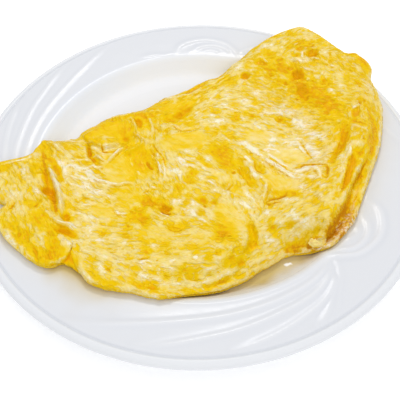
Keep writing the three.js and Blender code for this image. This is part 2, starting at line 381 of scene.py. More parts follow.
def fix_normals(ob):
    import bmesh
    bm = bmesh.new()
    bm.from_mesh(ob.data)
    bmesh.ops.remove_doubles(bm, verts=bm.verts, dist=1e-7)
    bmesh.ops.recalc_face_normals(bm, faces=bm.faces)
    vol = bm.calc_volume(signed=True)
    if vol < 0:
        bmesh.ops.reverse_faces(bm, faces=bm.faces)
    bm.to_mesh(ob.data)
    bm.free()
    ob.data.update()


# =====================================================================
#  Omelette: outline and main form
# =====================================================================
CENTRE = np.array([9.0, 0.5])
TILT = math.radians(33.7)
AX = np.array([math.cos(TILT), math.sin(TILT)])
AY = np.array([-math.sin(TILT), math.cos(TILT)])
# plan of the edge, counter-clockwise from the left end, mm
EDGE_PLAN = [
    (-113.4, -13.2), (-114.7, -21.9), (-110.6, -31.4), (-104.3, -35.3), (-99.9, -37.7), (-102.0, -41.5),
    (-102.1, -49.1), (-99.1, -55.3), (-94.4, -60.7), (-85.5, -68.4), (-77.7, -73.8), (-71.2, -74.6),
    (-67.0, -72.5), (-60.9, -75.4), (-57.3, -78.3), (-52.4, -83.5), (-43.9, -87.1), (-33.9, -88.5),
    (-23.3, -91.2), (-18.3, -92.0), (-12.5, -90.9), (-3.5, -87.7), (7.8, -84.7), (15.5, -81.0),
    (23.7, -76.6), (30.1, -72.0), (37.0, -67.9), (46.0, -63.0), (57.0, -62.9), (64.7, -63.9),
    (70.9, -58.9), (78.7, -50.1), (83.1, -41.0), (87.0, -33.2), (91.4, -23.9), (95.1, -15.5),
    (100.1, -5.1), (104.7, 7.4), (108.3, 21.1), (109.8, 31.4), (109.0, 42.2), (106.7, 51.2),
    (108.3, 60.1), (104.5, 66.7), (100.1, 73.1), (94.1, 74.0), (86.6, 83.8), (78.5, 95.2),
    (69.5, 102.3), (58.1, 99.0), (46.0, 92.8), (36.3, 85.3), (22.6, 78.9), (13.3, 68.8),
    (1.5, 63.0), (-10.1, 55.0), (-22.4, 48.3), (-33.0, 39.5), (-41.4, 36.9), (-53.1, 33.2),
    (-61.9, 26.6), (-69.8, 19.6), (-72.0, 15.7), (-75.6, 15.3), (-87.9, 10.7), (-91.3, 2.9),
    (-94.9, -3.7), (-108.5, -9.3),
]


def make_outline(n=1200):
    P = np.array(EDGE_PLAN)
    Q = np.vstack([P[-2:], P, P[:3]])
    line = []
    for i in range(1, len(Q) - 2):
        for t in np.linspace(0, 1, 24, endpoint=False):
            a, b, c, d = Q[i - 1], Q[i], Q[i + 1], Q[i + 2]
            line.append(0.5 * (2 * b + (c - a) * t + (2 * a - 5 * b + 4 * c - d) * t * t + (3 * b - a - 3 * c + d) * t ** 3))
    line = np.array(line)
    a = np.unwrap(np.arctan2(line[:, 1] - CENTRE[1], line[:, 0] - CENTRE[0]) - TILT)
    r = np.hypot(line[:, 0] - CENTRE[0], line[:, 1] - CENTRE[1])
    if a[-1] < a[0]:
        a, r = a[::-1], r[::-1]
    # one radius per direction, then small waviness
    g = np.linspace(-np.pi, np.pi, 5000, endpoint=False)
    rr = np.interp(g, np.r_[a - 2 * np.pi, a, a + 2 * np.pi], np.r_[r, r, r])
    rr = rr + 0.32 * noise2(g * 30, g * 0 + 0.7, 6) + 0.26 * noise2(g * 75, g * 0 + 0.9, 8)
    P = np.stack([CENTRE[0] + rr * np.cos(g + TILT), CENTRE[1] + rr * np.sin(g + TILT)], 1)
    Q = np.vstack([P, P[:1]])
    d = np.r_[0, np.cumsum(np.hypot(*np.diff(Q, axis=0).T))]
    s = np.linspace(0, d[-1], n, endpoint=False)
    aa = np.interp(s, d, np.r_[g, np.pi])
    return np.stack([np.interp(s, d, Q[:, 0]), np.interp(s, d, Q[:, 1])], 1), aa, d[-1]


OUT, OUT_A, PERIM = make_outline()


def edge_distance(x, y):
    """Distance inwards from the outline, mm."""
    x = np.asarray(x, float).ravel()
    y = np.asarray(y, float).ravel()
    A = OUT
    B = np.roll(OUT, -1, axis=0)
    AB = B - A
    L2 = (AB ** 2).sum(1)
    out = np.empty(len(x))
    for k in range(0, len(x), 4000):
        w0 = x[k:k + 4000, None] - A[None, :, 0]
        w1 = y[k:k + 4000, None] - A[None, :, 1]
        t = np.clip((w0 * AB[:, 0] + w1 * AB[:, 1]) / L2, 0, 1)
        out[k:k + 4000] = np.sqrt(((w0 - t * AB[:, 0]) ** 2 + (w1 - t * AB[:, 1]) ** 2).min(1))
    return out


def local(x, y):
    dx, dy = x - CENTRE[0], y - CENTRE[1]
    return dx * AX[0] + dy * AX[1], dx * AY[0] + dy * AY[1]


def underside(x, y):
    """The omelette lies in the well and over the shoulder of the rim."""
    r = np.hypot(x, y)
    return np.interp(r, WELL_R, WELL_Z) + 0.45 + 1.5 * np.exp(-((r - 83.5) / 4.5) ** 2)


def sink(x, y):
    """How far the very edge droops below the rest of the underside, where that stands off the shoulder."""
    return 0.33 + 1.15 * np.exp(-((np.hypot(x, y) - 83.5) / 4.5) ** 2)


#            direction, edge height, lip width, lip height, further rise distance
EDGE_TABLE = np.array([
    [-180, 2.4, 2.2, 1.8, 14],
    [-150, 2.2, 2.0, 1.6, 14],
    [-125, 1.7, 1.9, 1.5, 18],
    [-100, 1.5, 1.8, 1.4, 22],
    [-88, 1.4, 1.8, 1.3, 18],
    [-75, 1.4, 1.8, 1.3, 14],
    [-50, 1.4, 1.8, 1.3, 14],
    [-25, 1.9, 1.9, 1.5, 15],
    [-13, 3.4, 2.4, 2.0, 15],
    [-6, 6.0, 3.0, 2.6, 14],
    [0, 9.0, 3.4, 3.0, 13],
    [12, 9.2, 3.4, 3.0, 12],
    [28, 8.8, 3.6, 3.2, 12],
    [42, 7.0, 5.0, 4.4, 12],
    [60, 6.4, 6.5, 5.4, 12],
    [110, 6.6, 7.0, 5.8, 12],
    [135, 5.0, 5.0, 4.4, 12],
    [155, 3.4, 3.2, 2.8, 13],
    [180, 2.4, 2.2, 1.8, 14],
])


def edge_param(a, col):
    return np.interp(np.degrees(wrap(a)), EDGE_TABLE[:, 0], EDGE_TABLE[:, col])


def arcrise(s):
    s = np.clip(s, 0, 1)
    return np.sqrt(np.clip(1 - (1 - s) ** 2, 0, 1))


def plateau(x, y):
    u, v = local(x, y)
    r = np.hypot(x, y)
    soft = 5.65 + 11.2 * smooth(44, 104, r) + 1.4 * smooth(95, 122, r)
    t = np.interp(u, [-122, -100, -80, -50, -15, 30, 62, 90, 108, 122], [5.5, 7.2, 8.8, 12.2, 14.2, 14.4, 13.8, 13.4, 13.2, 13.0])
    return soft + t


def edge_z(x, y, a):
    return underside(x, y) + edge_param(a, 1)


def base_height(x, y, dist=None):
    """Main form of the top, without folds."""
    x = np.asarray(x, float)
    y = np.asarray(y, float)
    if dist is None:
        dist = edge_distance(x, y)
    a = np.arctan2(y - CENTRE[1], x - CENTRE[0]) - TILT
    w1, lip, w2 = edge_param(a, 2), edge_param(a, 3), edge_param(a, 4)
    ze = edge_z(x, y, a)
    q = np.clip(dist / w2, 0, 1)
    g = 0.5 * smooth(0, 1, q) + 0.5 * q * (2 - q)
    return ze + lip * arcrise(dist / w1) + (plateau(x, y) - ze - lip) * g


def project_down(points, height):
    """Plan positions of image points on a height field."""
    p = np.asarray(points, float)
    z = np.full(len(p), 22.0)
    for _ in range(9):
        x, y = unproject(p[:, 0], p[:, 1], z)
        z = 0.4 * z + 0.6 * height(x, y)
    return np.stack([x, y], 1)


def inside(x, y, poly):
    """Points inside a closed polygon."""
    x, y = np.asarray(x, float), np.asarray(y, float)
    odd = np.zeros(x.shape, bool)
    q = np.roll(poly, -1, axis=0)
    for (x0, y0), (x1, y1) in zip(poly, q):
        if y0 == y1:
            continue
        m = (y0 > y) != (y1 > y)
        odd ^= m & (x < (x1 - x0) * (y - y0) / (y1 - y0) + x0)
    return odd


# Leaf edges: the upper leaf ends at the line, and the lower leaf shows beyond it.
# (image points of the edge, points that close the lower area, thickness of the lower leaf along the line,
#  drop width, lip width, lip height, overhang)
CUTS = [
    # notch between the left lobe and the body
    ([(56, 267.5), (61, 262.5), (66, 256.5), (70, 249.5), (73, 242), (72.4, 250), (74, 260), (77.4, 269), (82, 280)],
     [(78, 290), (58, 276)], (1.5, 2.2, 3.4, 4.8, 6.0, 4.6, 2.8, 1.6, 1.2), 0.8, 1.8, 1.3, 0.5),
    # right-hand side, from the rolled nub up to the middle of the end
    ([(303, 256), (311, 249.5), (319, 241.5), (324.5, 235), (328.5, 227), (334, 220.5), (338, 213.5), (343, 205.5), (347.5, 197), (350.5, 188.5), (354, 181), (358, 174), (361, 167), (364.5, 160), (368, 150), (370, 140)],
     [(390, 140), (395, 200), (360, 250), (310, 262)],
     (1.8, 2.1, 2.6, 3.2, 3.8, 4.3, 4.7, 5.1, 5.5, 6.0, 6.6, 7.3, 8.2, 9.2, 10.4, 12.0), 0.9, 2.0, 1.4, 0.7),
]
CUT_LINES = []
# how far the lower leaf may lie below the upper one, along the right-hand cut
CUT_STEP = (9, 9, 9, 8, 7, 6, 4.8, 3.8, 3.0, 2.5, 2.1, 1.8, 1.5, 1.2, 0.8, 0.3)


def cut_fields(k, x, y, dist, zz=None):
    """Points near cut k: index, distance, signed (+ upper leaf), ends factor, lower leaf's height, across vectors."""
    line, poly, thick = CUT_LINES[k]
    i, d, t, s, nn = near(x, y, line, 26.0)
    lower = inside(x[i], y[i], poly)
    th = np.interp(t * (len(thick) - 1), np.arange(len(thick)), thick)
    low = underside(x[i], y[i]) + th * (0.5 + 0.5 * arcrise(dist[i] / 1.6))
    if zz is not None and k:
        low = np.maximum(low, zz[i] - np.interp(t * (len(CUT_STEP) - 1), np.arange(len(CUT_STEP)), CUT_STEP))
    ends = smooth(0.0, 0.02, t) * (1 - smooth(0.90, 1.0, t)) if k else np.ones(len(t))
    # the outline side of the line's own ends
    return i, d, lower, ends, low, nn, t


def top_height(x, y, dist=None):
    """Main form with the leaf edges cut in."""
    x = np.asarray(x, float)
    y = np.asarray(y, float)
    if dist is None:
        dist = edge_distance(x, y)
    z = np.array(base_height(x, y, dist), float)
    for k, (pts, close, thick, drop, lipw, liph, over) in enumerate(CUTS):
        if k >= len(CUT_LINES):
            break
        i, d, lower, ends, low, nn, t = cut_fields(k, x, y, dist, z)
        zz = z[i]
        lip = liph * ends * (1 - arcrise(d / lipw)) * np.clip((zz - low) / 3.0, 0, 1)
        upper_z = zz - lip
        b = smooth(0, drop, d) * ends
        lower_z = np.minimum(zz - liph * ends, zz) * (1 - b) + np.minimum(zz, low) * b
        z[i] = np.where(lower, np.maximum(lower_z, np.minimum(low, zz)), upper_z)
    return z


for _pts, _close, _thick, _drop, _lw, _lh, _ov in CUTS:
    _p = project_down(_pts, lambda x, y, h=_lh: base_height(x, y) - 0.7 * h)
    _c = project_down(_close, lambda x, y: underside(x, y) + 2.0)
    CUT_LINES.append((spline(_p, 5), np.vstack([spline(_p, 5), _c]), _thick))


def plan(points):
    """Plan positions of image points that lie on the omelette's top."""
    return project_down(points, top_height)


# =====================================================================
#  Omelette: folds, creases, pits and films, placed by image point
# =====================================================================
# Overlapping layers: (points, height, drop width, reach of the raised side, overhang).
# The raised side is on the left of the direction as seen from above.
STEPS = [
    # flap at the upper left, over the shard below it
    ([(83, 136), (87, 140), (92, 143), (98, 145), (104, 147), (112, 146.5), (121, 145)], 1.7, 0.9, 9.0, 0.7),
    # wet lip of the smooth patch
    ([(206, 129), (198, 131), (190, 133.5), (182, 134), (176, 131), (170, 127), (163, 122)], 1.3, 0.8, 8.0, 0.5),
    # fold on the left of the body, over the lobe
    ([(61, 222), (61, 212), (60, 202), (57, 190), (53, 179), (48, 169), (44, 160)], 0.0, 1.0, 6.0, 0.5),
    # smooth patch that ends in a dark crease
    ([(289, 195), (281, 197.5), (274, 199.5), (267, 202)], 0.0, 0.9, 7.0, 0.4),
]
# (points, height, half width, tone[, brown]): height above 0 raises a ridge, below 0 presses a crease or a
# hollow, mm; tone above 0 is paler, partly a painted highlight on lit ridges, below 0 deeper orange, partly painted
# shade in creases and hollows.
STROKES = [
    ([(45, 156), (52, 161), (58, 168.5), (61, 175)], -0.4, 1.5, -1.1),
    ([(42.5, 149), (43, 159), (44.5, 170), (45.5, 180)], -0.3, 1.3, -0.9),
    ([(51.4, 190), (53.5, 202), (56, 214)], -0.5, 1.3, -1.1),
    ([(62, 210), (67, 215), (72, 221)], -0.3, 1.6, -0.8),
    ([(54, 226), (62, 229), (70, 235)], -0.3, 2.0, -0.7),
    ([(42, 142.5), (52, 139.8), (64, 140.6), (76, 141.6), (84, 140.8)], 0.3, 0.9, 1.2),
    ([(2, 164), (14, 161.5), (26, 158.8), (38, 156)], 0.3, 0.9, 1.0),
    ([(88.2, 143), (88.8, 150), (91, 158), (96.5, 164)], -0.5, 0.9, -1.3),
    ([(102.6, 144.5), (103.2, 151.5), (110, 152), (117, 150.5)], -0.4, 0.8, -1.2),
    ([(146, 158.5), (149, 164), (152.5, 168.5)], -0.4, 0.8, -1.1),
    ([(152.2, 143), (157, 150), (163, 158), (166.5, 170)], -0.35, 0.8, -1.0),
    ([(165, 122), (172, 127.5), (180, 133.4), (190, 133.2), (200, 131.5)], -0.35, 0.8, -1.0),
    ([(150.5, 103.5), (162, 99.8), (176, 96.4), (188, 92.6), (199, 88)], -0.3, 0.8, -1.1),
    ([(293, 168), (300, 165.5), (308, 164.2), (318, 164), (326, 164.5)], -0.4, 0.8, -1.1),
    ([(327.2, 165), (328, 171), (327, 177.5)], -0.4, 0.8, -1.2),
    ([(300, 141), (306, 150), (313, 160)], -0.3, 0.8, -0.8),
    ([(254.5, 160), (256, 168), (262, 172)], -0.35, 0.8, -0.9),
    ([(308, 250), (309.5, 244.5), (313, 240.5), (318, 238.3)], -0.5, 0.9, -1.3, 0.25),
    ([(312, 250), (318, 250.2), (325, 247.2)], -0.4, 0.9, -1.2, 0.25),
    ([(284, 249), (293, 247), (302, 246.5), (309, 244)], -0.3, 1.2, -0.9),
    ([(351, 152), (348.5, 163), (346.5, 173), (344.5, 182), (342, 190), (338, 199)], -0.35, 0.9, -0.9),
    ([(266, 202.5), (272, 200), (280, 197.5), (288, 196)], -0.4, 1.0, -1.2, 0.15),
    ([(314, 242.5), (319, 242.5)], 0.0, 1.6, 0.9),
    ([(313, 247), (321, 246.5)], 0.0, 0.8, -1.1, 0.4),
    # --- left lobes
    ([(2, 166), (9, 168)], -0.5, 3.0, -0.60),
    ([(0, 178), (6, 182)], 0.2, 3.0, 0.20),
    ([(1, 189), (9, 191)], 0.35, 2.4, 0.75),
    ([(0, 197), (5, 196)], -0.3, 1.6, -0.40),
    ([(15, 163), (16, 175), (17, 188), (15, 198)], 0.3, 1.8, 0.15),
    ([(24, 168), (27, 174), (28, 181)], 0.9, 1.9, 0.85),
    ([(29, 156), (35, 155), (39, 154)], 0.7, 1.2, 0.35),
    ([(32, 162), (35, 167), (36, 174)], -0.9, 3.2, -0.95),
    ([(28, 160), (28, 166), (30, 172)], 0.5, 1.2, 0.25),
    ([(43, 160), (45, 170), (48, 180), (51, 189), (53, 198), (54, 207)], -1.3, 1.7, -0.65),
    ([(46, 167), (50, 172), (54, 180), (57, 188), (59, 197), (60, 206), (59, 213)], 1.8, 1.5, 0.80),
    ([(50, 163), (55, 169), (59, 175), (61, 182)], -0.9, 1.5, -0.75),
    ([(43, 186), (47, 189), (48, 194)], -1.4, 2.4, -1.25),
    ([(35, 188), (39, 194), (37, 199)], 0.7, 2.0, 0.75),
    ([(41, 198), (37, 203), (33, 207)], -0.6, 0.9, -0.70),
    ([(29, 201), (34, 204)], -0.3, 2.4, -0.60),
    ([(15, 201), (12, 205), (9, 209)], -1.0, 0.9, -1.0),
    ([(11, 203), (7, 208)], -0.4, 2.0, -0.50),
    ([(20, 205), (22, 212)], 0.4, 1.8, 0.35),
    ([(33, 212), (40, 217), (46, 222)], -0.4, 4.0, -0.60),
    ([(45, 210), (49, 214), (51, 218)], 0.7, 1.3, 0.75),
    ([(51, 215), (56, 220), (62, 223), (68, 225), (72, 229)], 1.3, 1.3, 0.85),
    ([(53, 226), (60, 228), (68, 231), (77, 236)], -1.3, 1.7, -0.80),
    ([(52, 229), (53, 237), (54, 246), (54, 254)], -0.7, 2.2, -0.80),
    ([(10, 224), (18, 227)], -0.3, 3.0, -0.50),
    ([(16, 232), (24, 236), (29, 237)], -0.4, 2.4, -0.70),
    ([(36, 232), (41, 239), (44, 246)], 0.45, 2.6, 0.50),
    ([(62, 237), (66, 242), (64, 247)], 0.5, 2.0, 0.45),
    ([(28, 246), (38, 254), (46, 257), (56, 257)], -0.3, 2.4, -0.45),
    ([(73, 242), (70, 248), (66, 255), (60, 260), (51, 262), (43, 264)], 0.3, 0.9, 0.50),
    ([(4, 224), (7, 232), (12, 240), (18, 248), (25, 255), (33, 260)], 0.3, 1.9, 0.60),
    ([(63, 212), (65, 217), (62, 219)], -1.3, 2.2, -1.15),
    ([(72, 205), (74, 212), (77, 222)], -0.6, 1.8, -0.50),
    ([(66, 222), (72, 224)], 0.3, 1.0, 0.60),
    ([(66, 203), (68, 208)], -0.3, 1.5, -0.60),
    ([(68, 257), (71, 262), (75, 268)], 0.0, 3.0, -0.45),
    # --- upper left of the body
    ([(45, 145), (48, 150), (50, 157)], -0.6, 2.6, -0.80),
    ([(45, 142), (52, 144), (58, 148), (63, 153), (67, 157)], 0.9, 1.2, 0.60),
    ([(60, 143), (66, 144), (72, 147), (78, 148)], -0.4, 2.0, -0.55),
    ([(67, 151), (73, 155), (80, 157), (87, 157)], -0.2, 1.2, -0.45),
    ([(73, 151), (78, 155), (84, 158)], 0.3, 0.8, 0.25),
    ([(88, 142), (88, 150), (88, 158)], -0.9, 0.8, -0.35),
    ([(89, 145), (90, 152), (93, 158), (98, 163), (103, 165)], -1.0, 1.2, -0.65),
    ([(86, 143), (86, 158)], 0.4, 0.9, 0.10),
    ([(64, 163), (72, 161), (82, 160), (91, 160)], 0.5, 0.8, 0.80),
    ([(64, 169), (70, 166), (78, 168), (86, 169), (94, 165)], 0.7, 0.9, 1.00),
    ([(78, 164), (86, 163)], -0.3, 0.8, -0.20),
    ([(66, 174), (74, 177), (84, 180)], 0.4, 0.8, 0.60),
    ([(68, 183), (78, 186), (86, 189)], 0.4, 0.8, 0.55),
    ([(65, 186), (70, 186)], -0.4, 1.8, -0.60),
    ([(86, 178), (92, 184), (96, 190)], -0.3, 1.3, -0.30),
    ([(62, 193), (66, 197), (72, 201)], 0.5, 1.0, 0.70),
    ([(74, 193), (82, 195)], 0.2, 1.4, 0.30),
    ([(82, 197), (88, 198), (94, 201)], -0.5, 1.1, -0.60),
    ([(75, 201), (80, 202)], -0.5, 1.0, -0.70),
    ([(80, 206), (88, 205), (94, 204)], 0.5, 1.2, 0.75),
    ([(97, 170), (98, 174)], -0.5, 2.2, -0.75),
    ([(97, 186), (102, 187)], -0.4, 2.0, -0.50),
    ([(106, 191), (112, 191), (117, 189)], -0.6, 1.9, -0.85),
    ([(101, 193), (107, 195), (112, 198)], 0.5, 1.1, 0.85),
    ([(104, 200), (110, 203)], -0.2, 2.4, -0.50),
    ([(82, 213), (90, 220), (88, 230), (84, 240)], 0.2, 4.0, 0.25),
    # --- flap, shard and the star of ridges
    ([(88, 132), (96, 130), (106, 128), (118, 128), (126, 133), (127, 140)], 0.0, 5.0, -0.40),
    ([(125, 137), (127, 141)], -0.9, 2.0, -0.90),
    ([(86, 136), (92, 139)], 0.2, 2.4, -0.50),
    ([(103, 139), (108, 140)], 0.3, 1.6, 0.50),
    ([(112, 119), (118, 117.5), (126, 116.5), (133, 115)], 0.8, 0.8, 0.70),
    ([(113, 117), (120, 115.5)], -0.3, 0.7, -0.30),
    ([(129, 119), (133, 121), (135, 125), (136, 130)], 1.1, 1.2, 0.95),
    ([(136, 118), (138, 122), (139, 128)], -1.3, 1.6, -1.15),
    ([(132, 133), (137, 136), (142, 139), (147, 141)], 1.2, 1.1, 0.50),
    ([(143, 114), (145, 122), (146, 130)], -0.3, 2.6, -0.50),
    ([(145, 111), (148, 117), (151, 123), (153, 129)], 0.8, 1.0, 0.65),
    ([(154, 126), (158, 129), (160, 132)], -0.7, 1.3, -0.60),
    ([(161, 125), (163, 129), (163, 134)], 0.6, 0.9, 0.75),
    ([(147, 140), (142, 143), (134, 148), (127, 152), (121, 157)], 0.9, 1.0, 0.25),
    ([(144, 146), (141, 155), (145, 165), (147, 172)], -1.0, 5.5, -0.50),
    ([(131, 152), (124, 156)], -0.3, 1.8, -0.50),
    ([(146, 160), (149, 164), (153, 168)], -0.8, 0.6, -0.85),
    ([(145, 161), (147, 165), (150, 168)], 0.4, 0.5, 0.60),
    ([(150, 147), (153, 152), (156, 157), (159, 162)], -0.9, 0.7, -0.70),
    ([(155, 156), (158, 162), (160, 169), (161, 176)], 1.1, 0.8, 1.35),
    ([(162, 158), (164, 165), (165, 173), (163, 179)], 0.5, 0.7, 0.95),
    ([(137, 169), (140, 174)], 0.5, 1.1, 0.85),
    ([(131, 161), (134, 166)], 0.2, 1.2, 0.40),
    ([(103, 149), (112, 148), (120, 148)], 0.3, 2.2, 0.60),
    ([(122, 148), (118, 152), (113, 157), (107, 163)], 1.1, 1.1, 1.25),
    ([(92, 147), (97, 150), (101, 153)], 0.5, 1.3, 0.80),
    ([(97, 155), (102, 159), (106, 162)], 0.6, 0.9, 0.70),
    ([(92, 165), (97, 168), (104, 166)], 0.6, 0.9, 0.85),
    ([(101, 150), (108, 153)], 0.0, 2.5, 0.30),
    ([(90, 171), (92, 176), (97, 180), (104, 182), (111, 184), (119, 185), (128, 183), (135, 184)], 0.9, 1.0, 0.95),
    ([(96, 178), (103, 179), (109, 180)], -0.4, 0.7, -0.35),
    ([(130, 176), (134, 180)], -0.3, 2.5, -0.50),
    # --- back of the body
    ([(152, 107), (160, 104), (168, 103)], 0.1, 2.2, -0.55),
    ([(160, 99), (168, 99), (176, 98), (186, 95), (195, 94), (202, 91), (208, 88)], 0.9, 0.9, 0.80),
    ([(178, 96), (185, 92), (193, 89), (200, 85), (206, 82)], -0.9, 1.4, -1.15),
    ([(209, 80), (216, 78), (223, 74)], -0.8, 1.3, -1.15),
    ([(212, 84), (218, 80), (225, 76)], 0.5, 0.9, 0.60),
    ([(213, 88), (217, 88)], -0.3, 1.8, -0.60),
    ([(160, 119), (168, 118), (176, 116), (184, 112), (190, 105)], -0.9, 3.0, -1.00),
    ([(180, 111), (182, 113)], -0.5, 0.9, -0.80),
    ([(150, 112), (160, 110), (168, 108)], 0.1, 2.5, -0.15),
    ([(164, 114), (172, 112)], 0.4, 1.0, 0.10),
    ([(184, 124), (190, 121), (194, 126)], -0.6, 3.4, -0.85),
    ([(162, 122), (168, 125), (174, 129), (180, 133.5), (187, 133), (194, 131), (200, 129)], 0.5, 0.7, 1.40),
    ([(173, 125), (178, 129), (182, 131)], -0.7, 0.6, -1.00),
    ([(182, 131), (192, 130)], -0.5, 0.8, -0.85),
    ([(166, 128), (167, 134), (168, 140)], -0.2, 1.8, -0.60),
    ([(199, 147), (202, 148)], -0.3, 2.0, -0.60),
    ([(184, 152), (190, 152)], 0.5, 1.6, 1.00),
    ([(172, 158), (180, 160), (186, 164)], 0.5, 1.6, 1.15),
    ([(172, 168), (178, 172), (176, 178)], 0.3, 2.4, 0.70),
    ([(182, 165), (188, 166)], 0.5, 1.3, 1.00),
    ([(200, 159), (205, 163), (208, 165)], -0.5, 1.4, -0.80),
    ([(196, 157), (202, 158)], -0.4, 1.4, -0.85),
    ([(177, 180), (178, 188), (177, 196)], -0.5, 2.4, -0.70),
    ([(187, 172), (190, 178), (188, 185)], -0.6, 2.6, -0.80),
    ([(160, 188), (163, 189)], -0.3, 1.8, -0.40),
    ([(151, 187), (156, 188)], 0.5, 1.1, 0.85),
    ([(143, 193), (149, 190)], -0.6, 0.6, -0.80),
    ([(155, 192), (159, 193)], 0.5, 1.2, 0.60),
    ([(172, 186), (171, 192)], 0.3, 1.2, 0.40),
    ([(143, 198), (147, 202), (146, 207)], -0.6, 3.4, -0.95),
    ([(153, 201), (157, 203)], -0.6, 3.0, -1.10),
    ([(136, 202), (136, 206)], 0.3, 1.5, 0.75),
    ([(203, 94), (200, 101), (206, 97)], -0.4, 1.2, -0.45),
    ([(203, 103), (207, 100)], 0.4, 0.8, 0.50),
    ([(203, 110), (207, 114)], -0.3, 2.0, -0.50),
    ([(212, 94), (222, 96), (232, 95)], 0.1, 3.5, 0.35),
    ([(212, 103), (222, 105)], 0.1, 3.0, 0.25),
    ([(225, 107), (233, 110), (241, 112)], 0.6, 0.9, 1.10),
    ([(230, 65), (236, 67), (232, 71)], 0.3, 3.0, 0.85),
    ([(241, 74), (246, 76), (248, 78)], -0.9, 2.3, -1.10),
    ([(226, 80), (236, 84), (240, 86)], 0.0, 3.6, -0.30),
    ([(253, 74), (254, 84)], 0.0, 3.0, -0.25),
    ([(243, 94), (249, 96)], -0.4, 1.5, -0.55),
    ([(250, 91), (256, 93), (262, 97)], 0.4, 1.6, 0.85),
    ([(232, 114), (236, 118), (237, 122)], -0.6, 2.4, -0.95),
    ([(242, 111), (248, 114), (254, 117)], -0.4, 2.6, -0.80),
    ([(247, 120), (251, 124)], -0.3, 1.9, -0.60),
    ([(252, 102), (257, 105)], -0.3, 1.7, -0.60),
    ([(210, 121), (217, 122), (226, 121)], 0.4, 2.0, 1.00),
    ([(220, 123), (222, 123)], -0.5, 0.7, -0.60),
    ([(205, 127), (209, 130)], -0.5, 1.5, -0.85),
    ([(213, 133), (218, 134)], -0.4, 2.0, -0.75),
    ([(222, 127), (228, 128)], -0.4, 1.8, -0.80),
    ([(224, 133), (231, 136), (238, 138)], -0.4, 1.8, -0.85),
    ([(222, 136), (227, 139), (234, 142)], 0.4, 0.8, 0.75),
    ([(215, 149), (221, 153), (226, 158), (230, 162), (236, 160)], -0.9, 5.0, -1.00),
    ([(214, 148), (218, 152)], -0.4, 2.4, -0.60),
    ([(220, 144), (228, 147)], 0.0, 3.0, -0.60),
    ([(240, 141), (247, 145), (253, 149), (259, 153)], 0.5, 1.4, 1.20),
    # --- right end, back
    ([(270, 38), (277, 36), (284, 34)], -0.4, 1.8, -0.65),
    ([(288, 33), (293, 33)], -0.5, 2.2, -0.85),
    ([(302, 30), (304, 31)], -0.3, 1.4, -0.70),
    ([(295, 39), (302, 37), (310, 38)], 0.4, 1.7, 0.80),
    ([(300, 33), (312, 34)], 0.1, 2.0, 0.40),
    ([(302, 43), (307, 44), (312, 43)], -0.5, 1.8, -0.70),
    ([(303, 47), (307, 46), (312, 46), (314, 44)], -0.7, 0.6, -1.10),
    ([(304, 48.5), (309, 48.5)], 0.4, 0.7, 0.80),
    ([(314, 46), (319, 46)], 0.3, 1.6, 0.70),
    ([(296, 48), (300, 49), (303, 47)], -0.7, 1.6, -1.10),
    ([(309, 58), (314, 58.7), (320, 59)], 0.4, 0.6, 0.85),
    ([(302, 52), (302, 58)], 0.6, 1.0, 1.35),
    ([(294, 53), (297, 56)], -0.7, 1.8, -1.00),
    ([(293, 60), (297, 61)], -0.3, 1.4, 0.30, 0.25),
    ([(302, 59), (308, 59)], 0.3, 0.9, 0.60),
    ([(296, 68), (298, 73), (299, 78)], -0.9, 2.6, -1.30),
    ([(297, 73), (299, 76)], -0.5, 1.0, -0.60, 0.3),
    ([(290, 65), (295, 66)], -0.3, 2.0, -0.70),
    ([(291, 70), (292, 76), (296, 80)], -0.3, 2.4, -0.70),
    ([(302, 72), (303, 76)], -0.3, 1.6, -0.80),
    ([(273, 58), (278, 64), (283, 68), (288, 70)], -0.2, 4.0, -0.65),
    ([(255, 58), (262, 63), (268, 67), (272, 74)], -0.5, 2.4, -0.80),
    ([(259, 56), (264, 60), (269, 64)], 0.6, 1.1, 1.05),
    ([(262, 46), (268, 45), (274, 47)], 0.2, 1.8, 0.70),
    ([(267, 50), (270, 53), (272, 55)], -0.4, 2.2, -0.75),
    ([(281, 46), (284, 50)], 0.3, 1.6, 0.85),
    ([(284, 57), (285, 60)], 0.3, 1.2, 0.60),
    ([(274, 55), (279, 55)], 0.3, 0.8, 0.60),
    ([(289, 46), (290, 50)], -0.2, 1.5, -0.50),
    ([(261, 72), (268, 76), (272, 77)], -0.2, 2.6, -0.55),
    ([(279, 74), (282, 76)], 0.4, 1.0, 0.65),
    ([(276, 80), (283, 82), (288, 82)], -0.6, 1.7, -0.90),
    ([(273, 84), (277, 88), (281, 92)], -0.4, 2.4, -0.75),
    ([(285, 82), (288, 84)], -0.4, 1.2, -0.80),
    ([(272, 82), (269, 85)], 0.3, 1.0, 0.50),
    ([(281, 84), (284, 85)], 0.2, 0.8, 0.50),
    ([(288, 87), (285, 91)], 0.2, 1.0, 0.40),
    ([(295, 87), (300, 90), (304, 95), (306, 101)], -1.0, 3.4, -1.15),
    ([(301, 91), (303, 94)], -0.4, 1.2, -0.60),
    ([(296, 97), (299, 98)], -0.5, 1.2, -0.90),
    ([(302, 80), (300, 85)], -0.2, 3.0, -0.75),
    ([(312, 84), (318, 90), (314, 97)], 0.0, 5.5, -0.60),
    ([(326, 78), (327, 83), (325, 85)], -0.7, 2.2, -1.05),
    ([(324, 100), (330, 105), (334, 106)], -0.2, 4.5, -0.80),
    ([(321, 114), (328, 116)], 0.0, 4.0, -0.65),
    ([(296, 104), (298, 107)], -0.3, 1.6, -0.70),
    ([(304, 68), (309, 69), (314, 71), (319, 73)], 0.4, 1.0, 0.75),
    ([(330, 66), (336, 67)], 0.4, 1.0, 0.85),
    ([(331, 59), (333, 62)], -0.5, 1.8, -0.80),
    ([(330, 52), (330, 56)], -0.4, 1.2, -0.50),
    ([(305, 64), (312, 63), (318, 62)], -0.3, 1.6, -0.50),
    ([(323, 71), (321, 75)], 0.4, 0.9, 0.60),
    ([(322, 48), (325, 53), (324, 57)], 0.2, 2.0, 0.60),
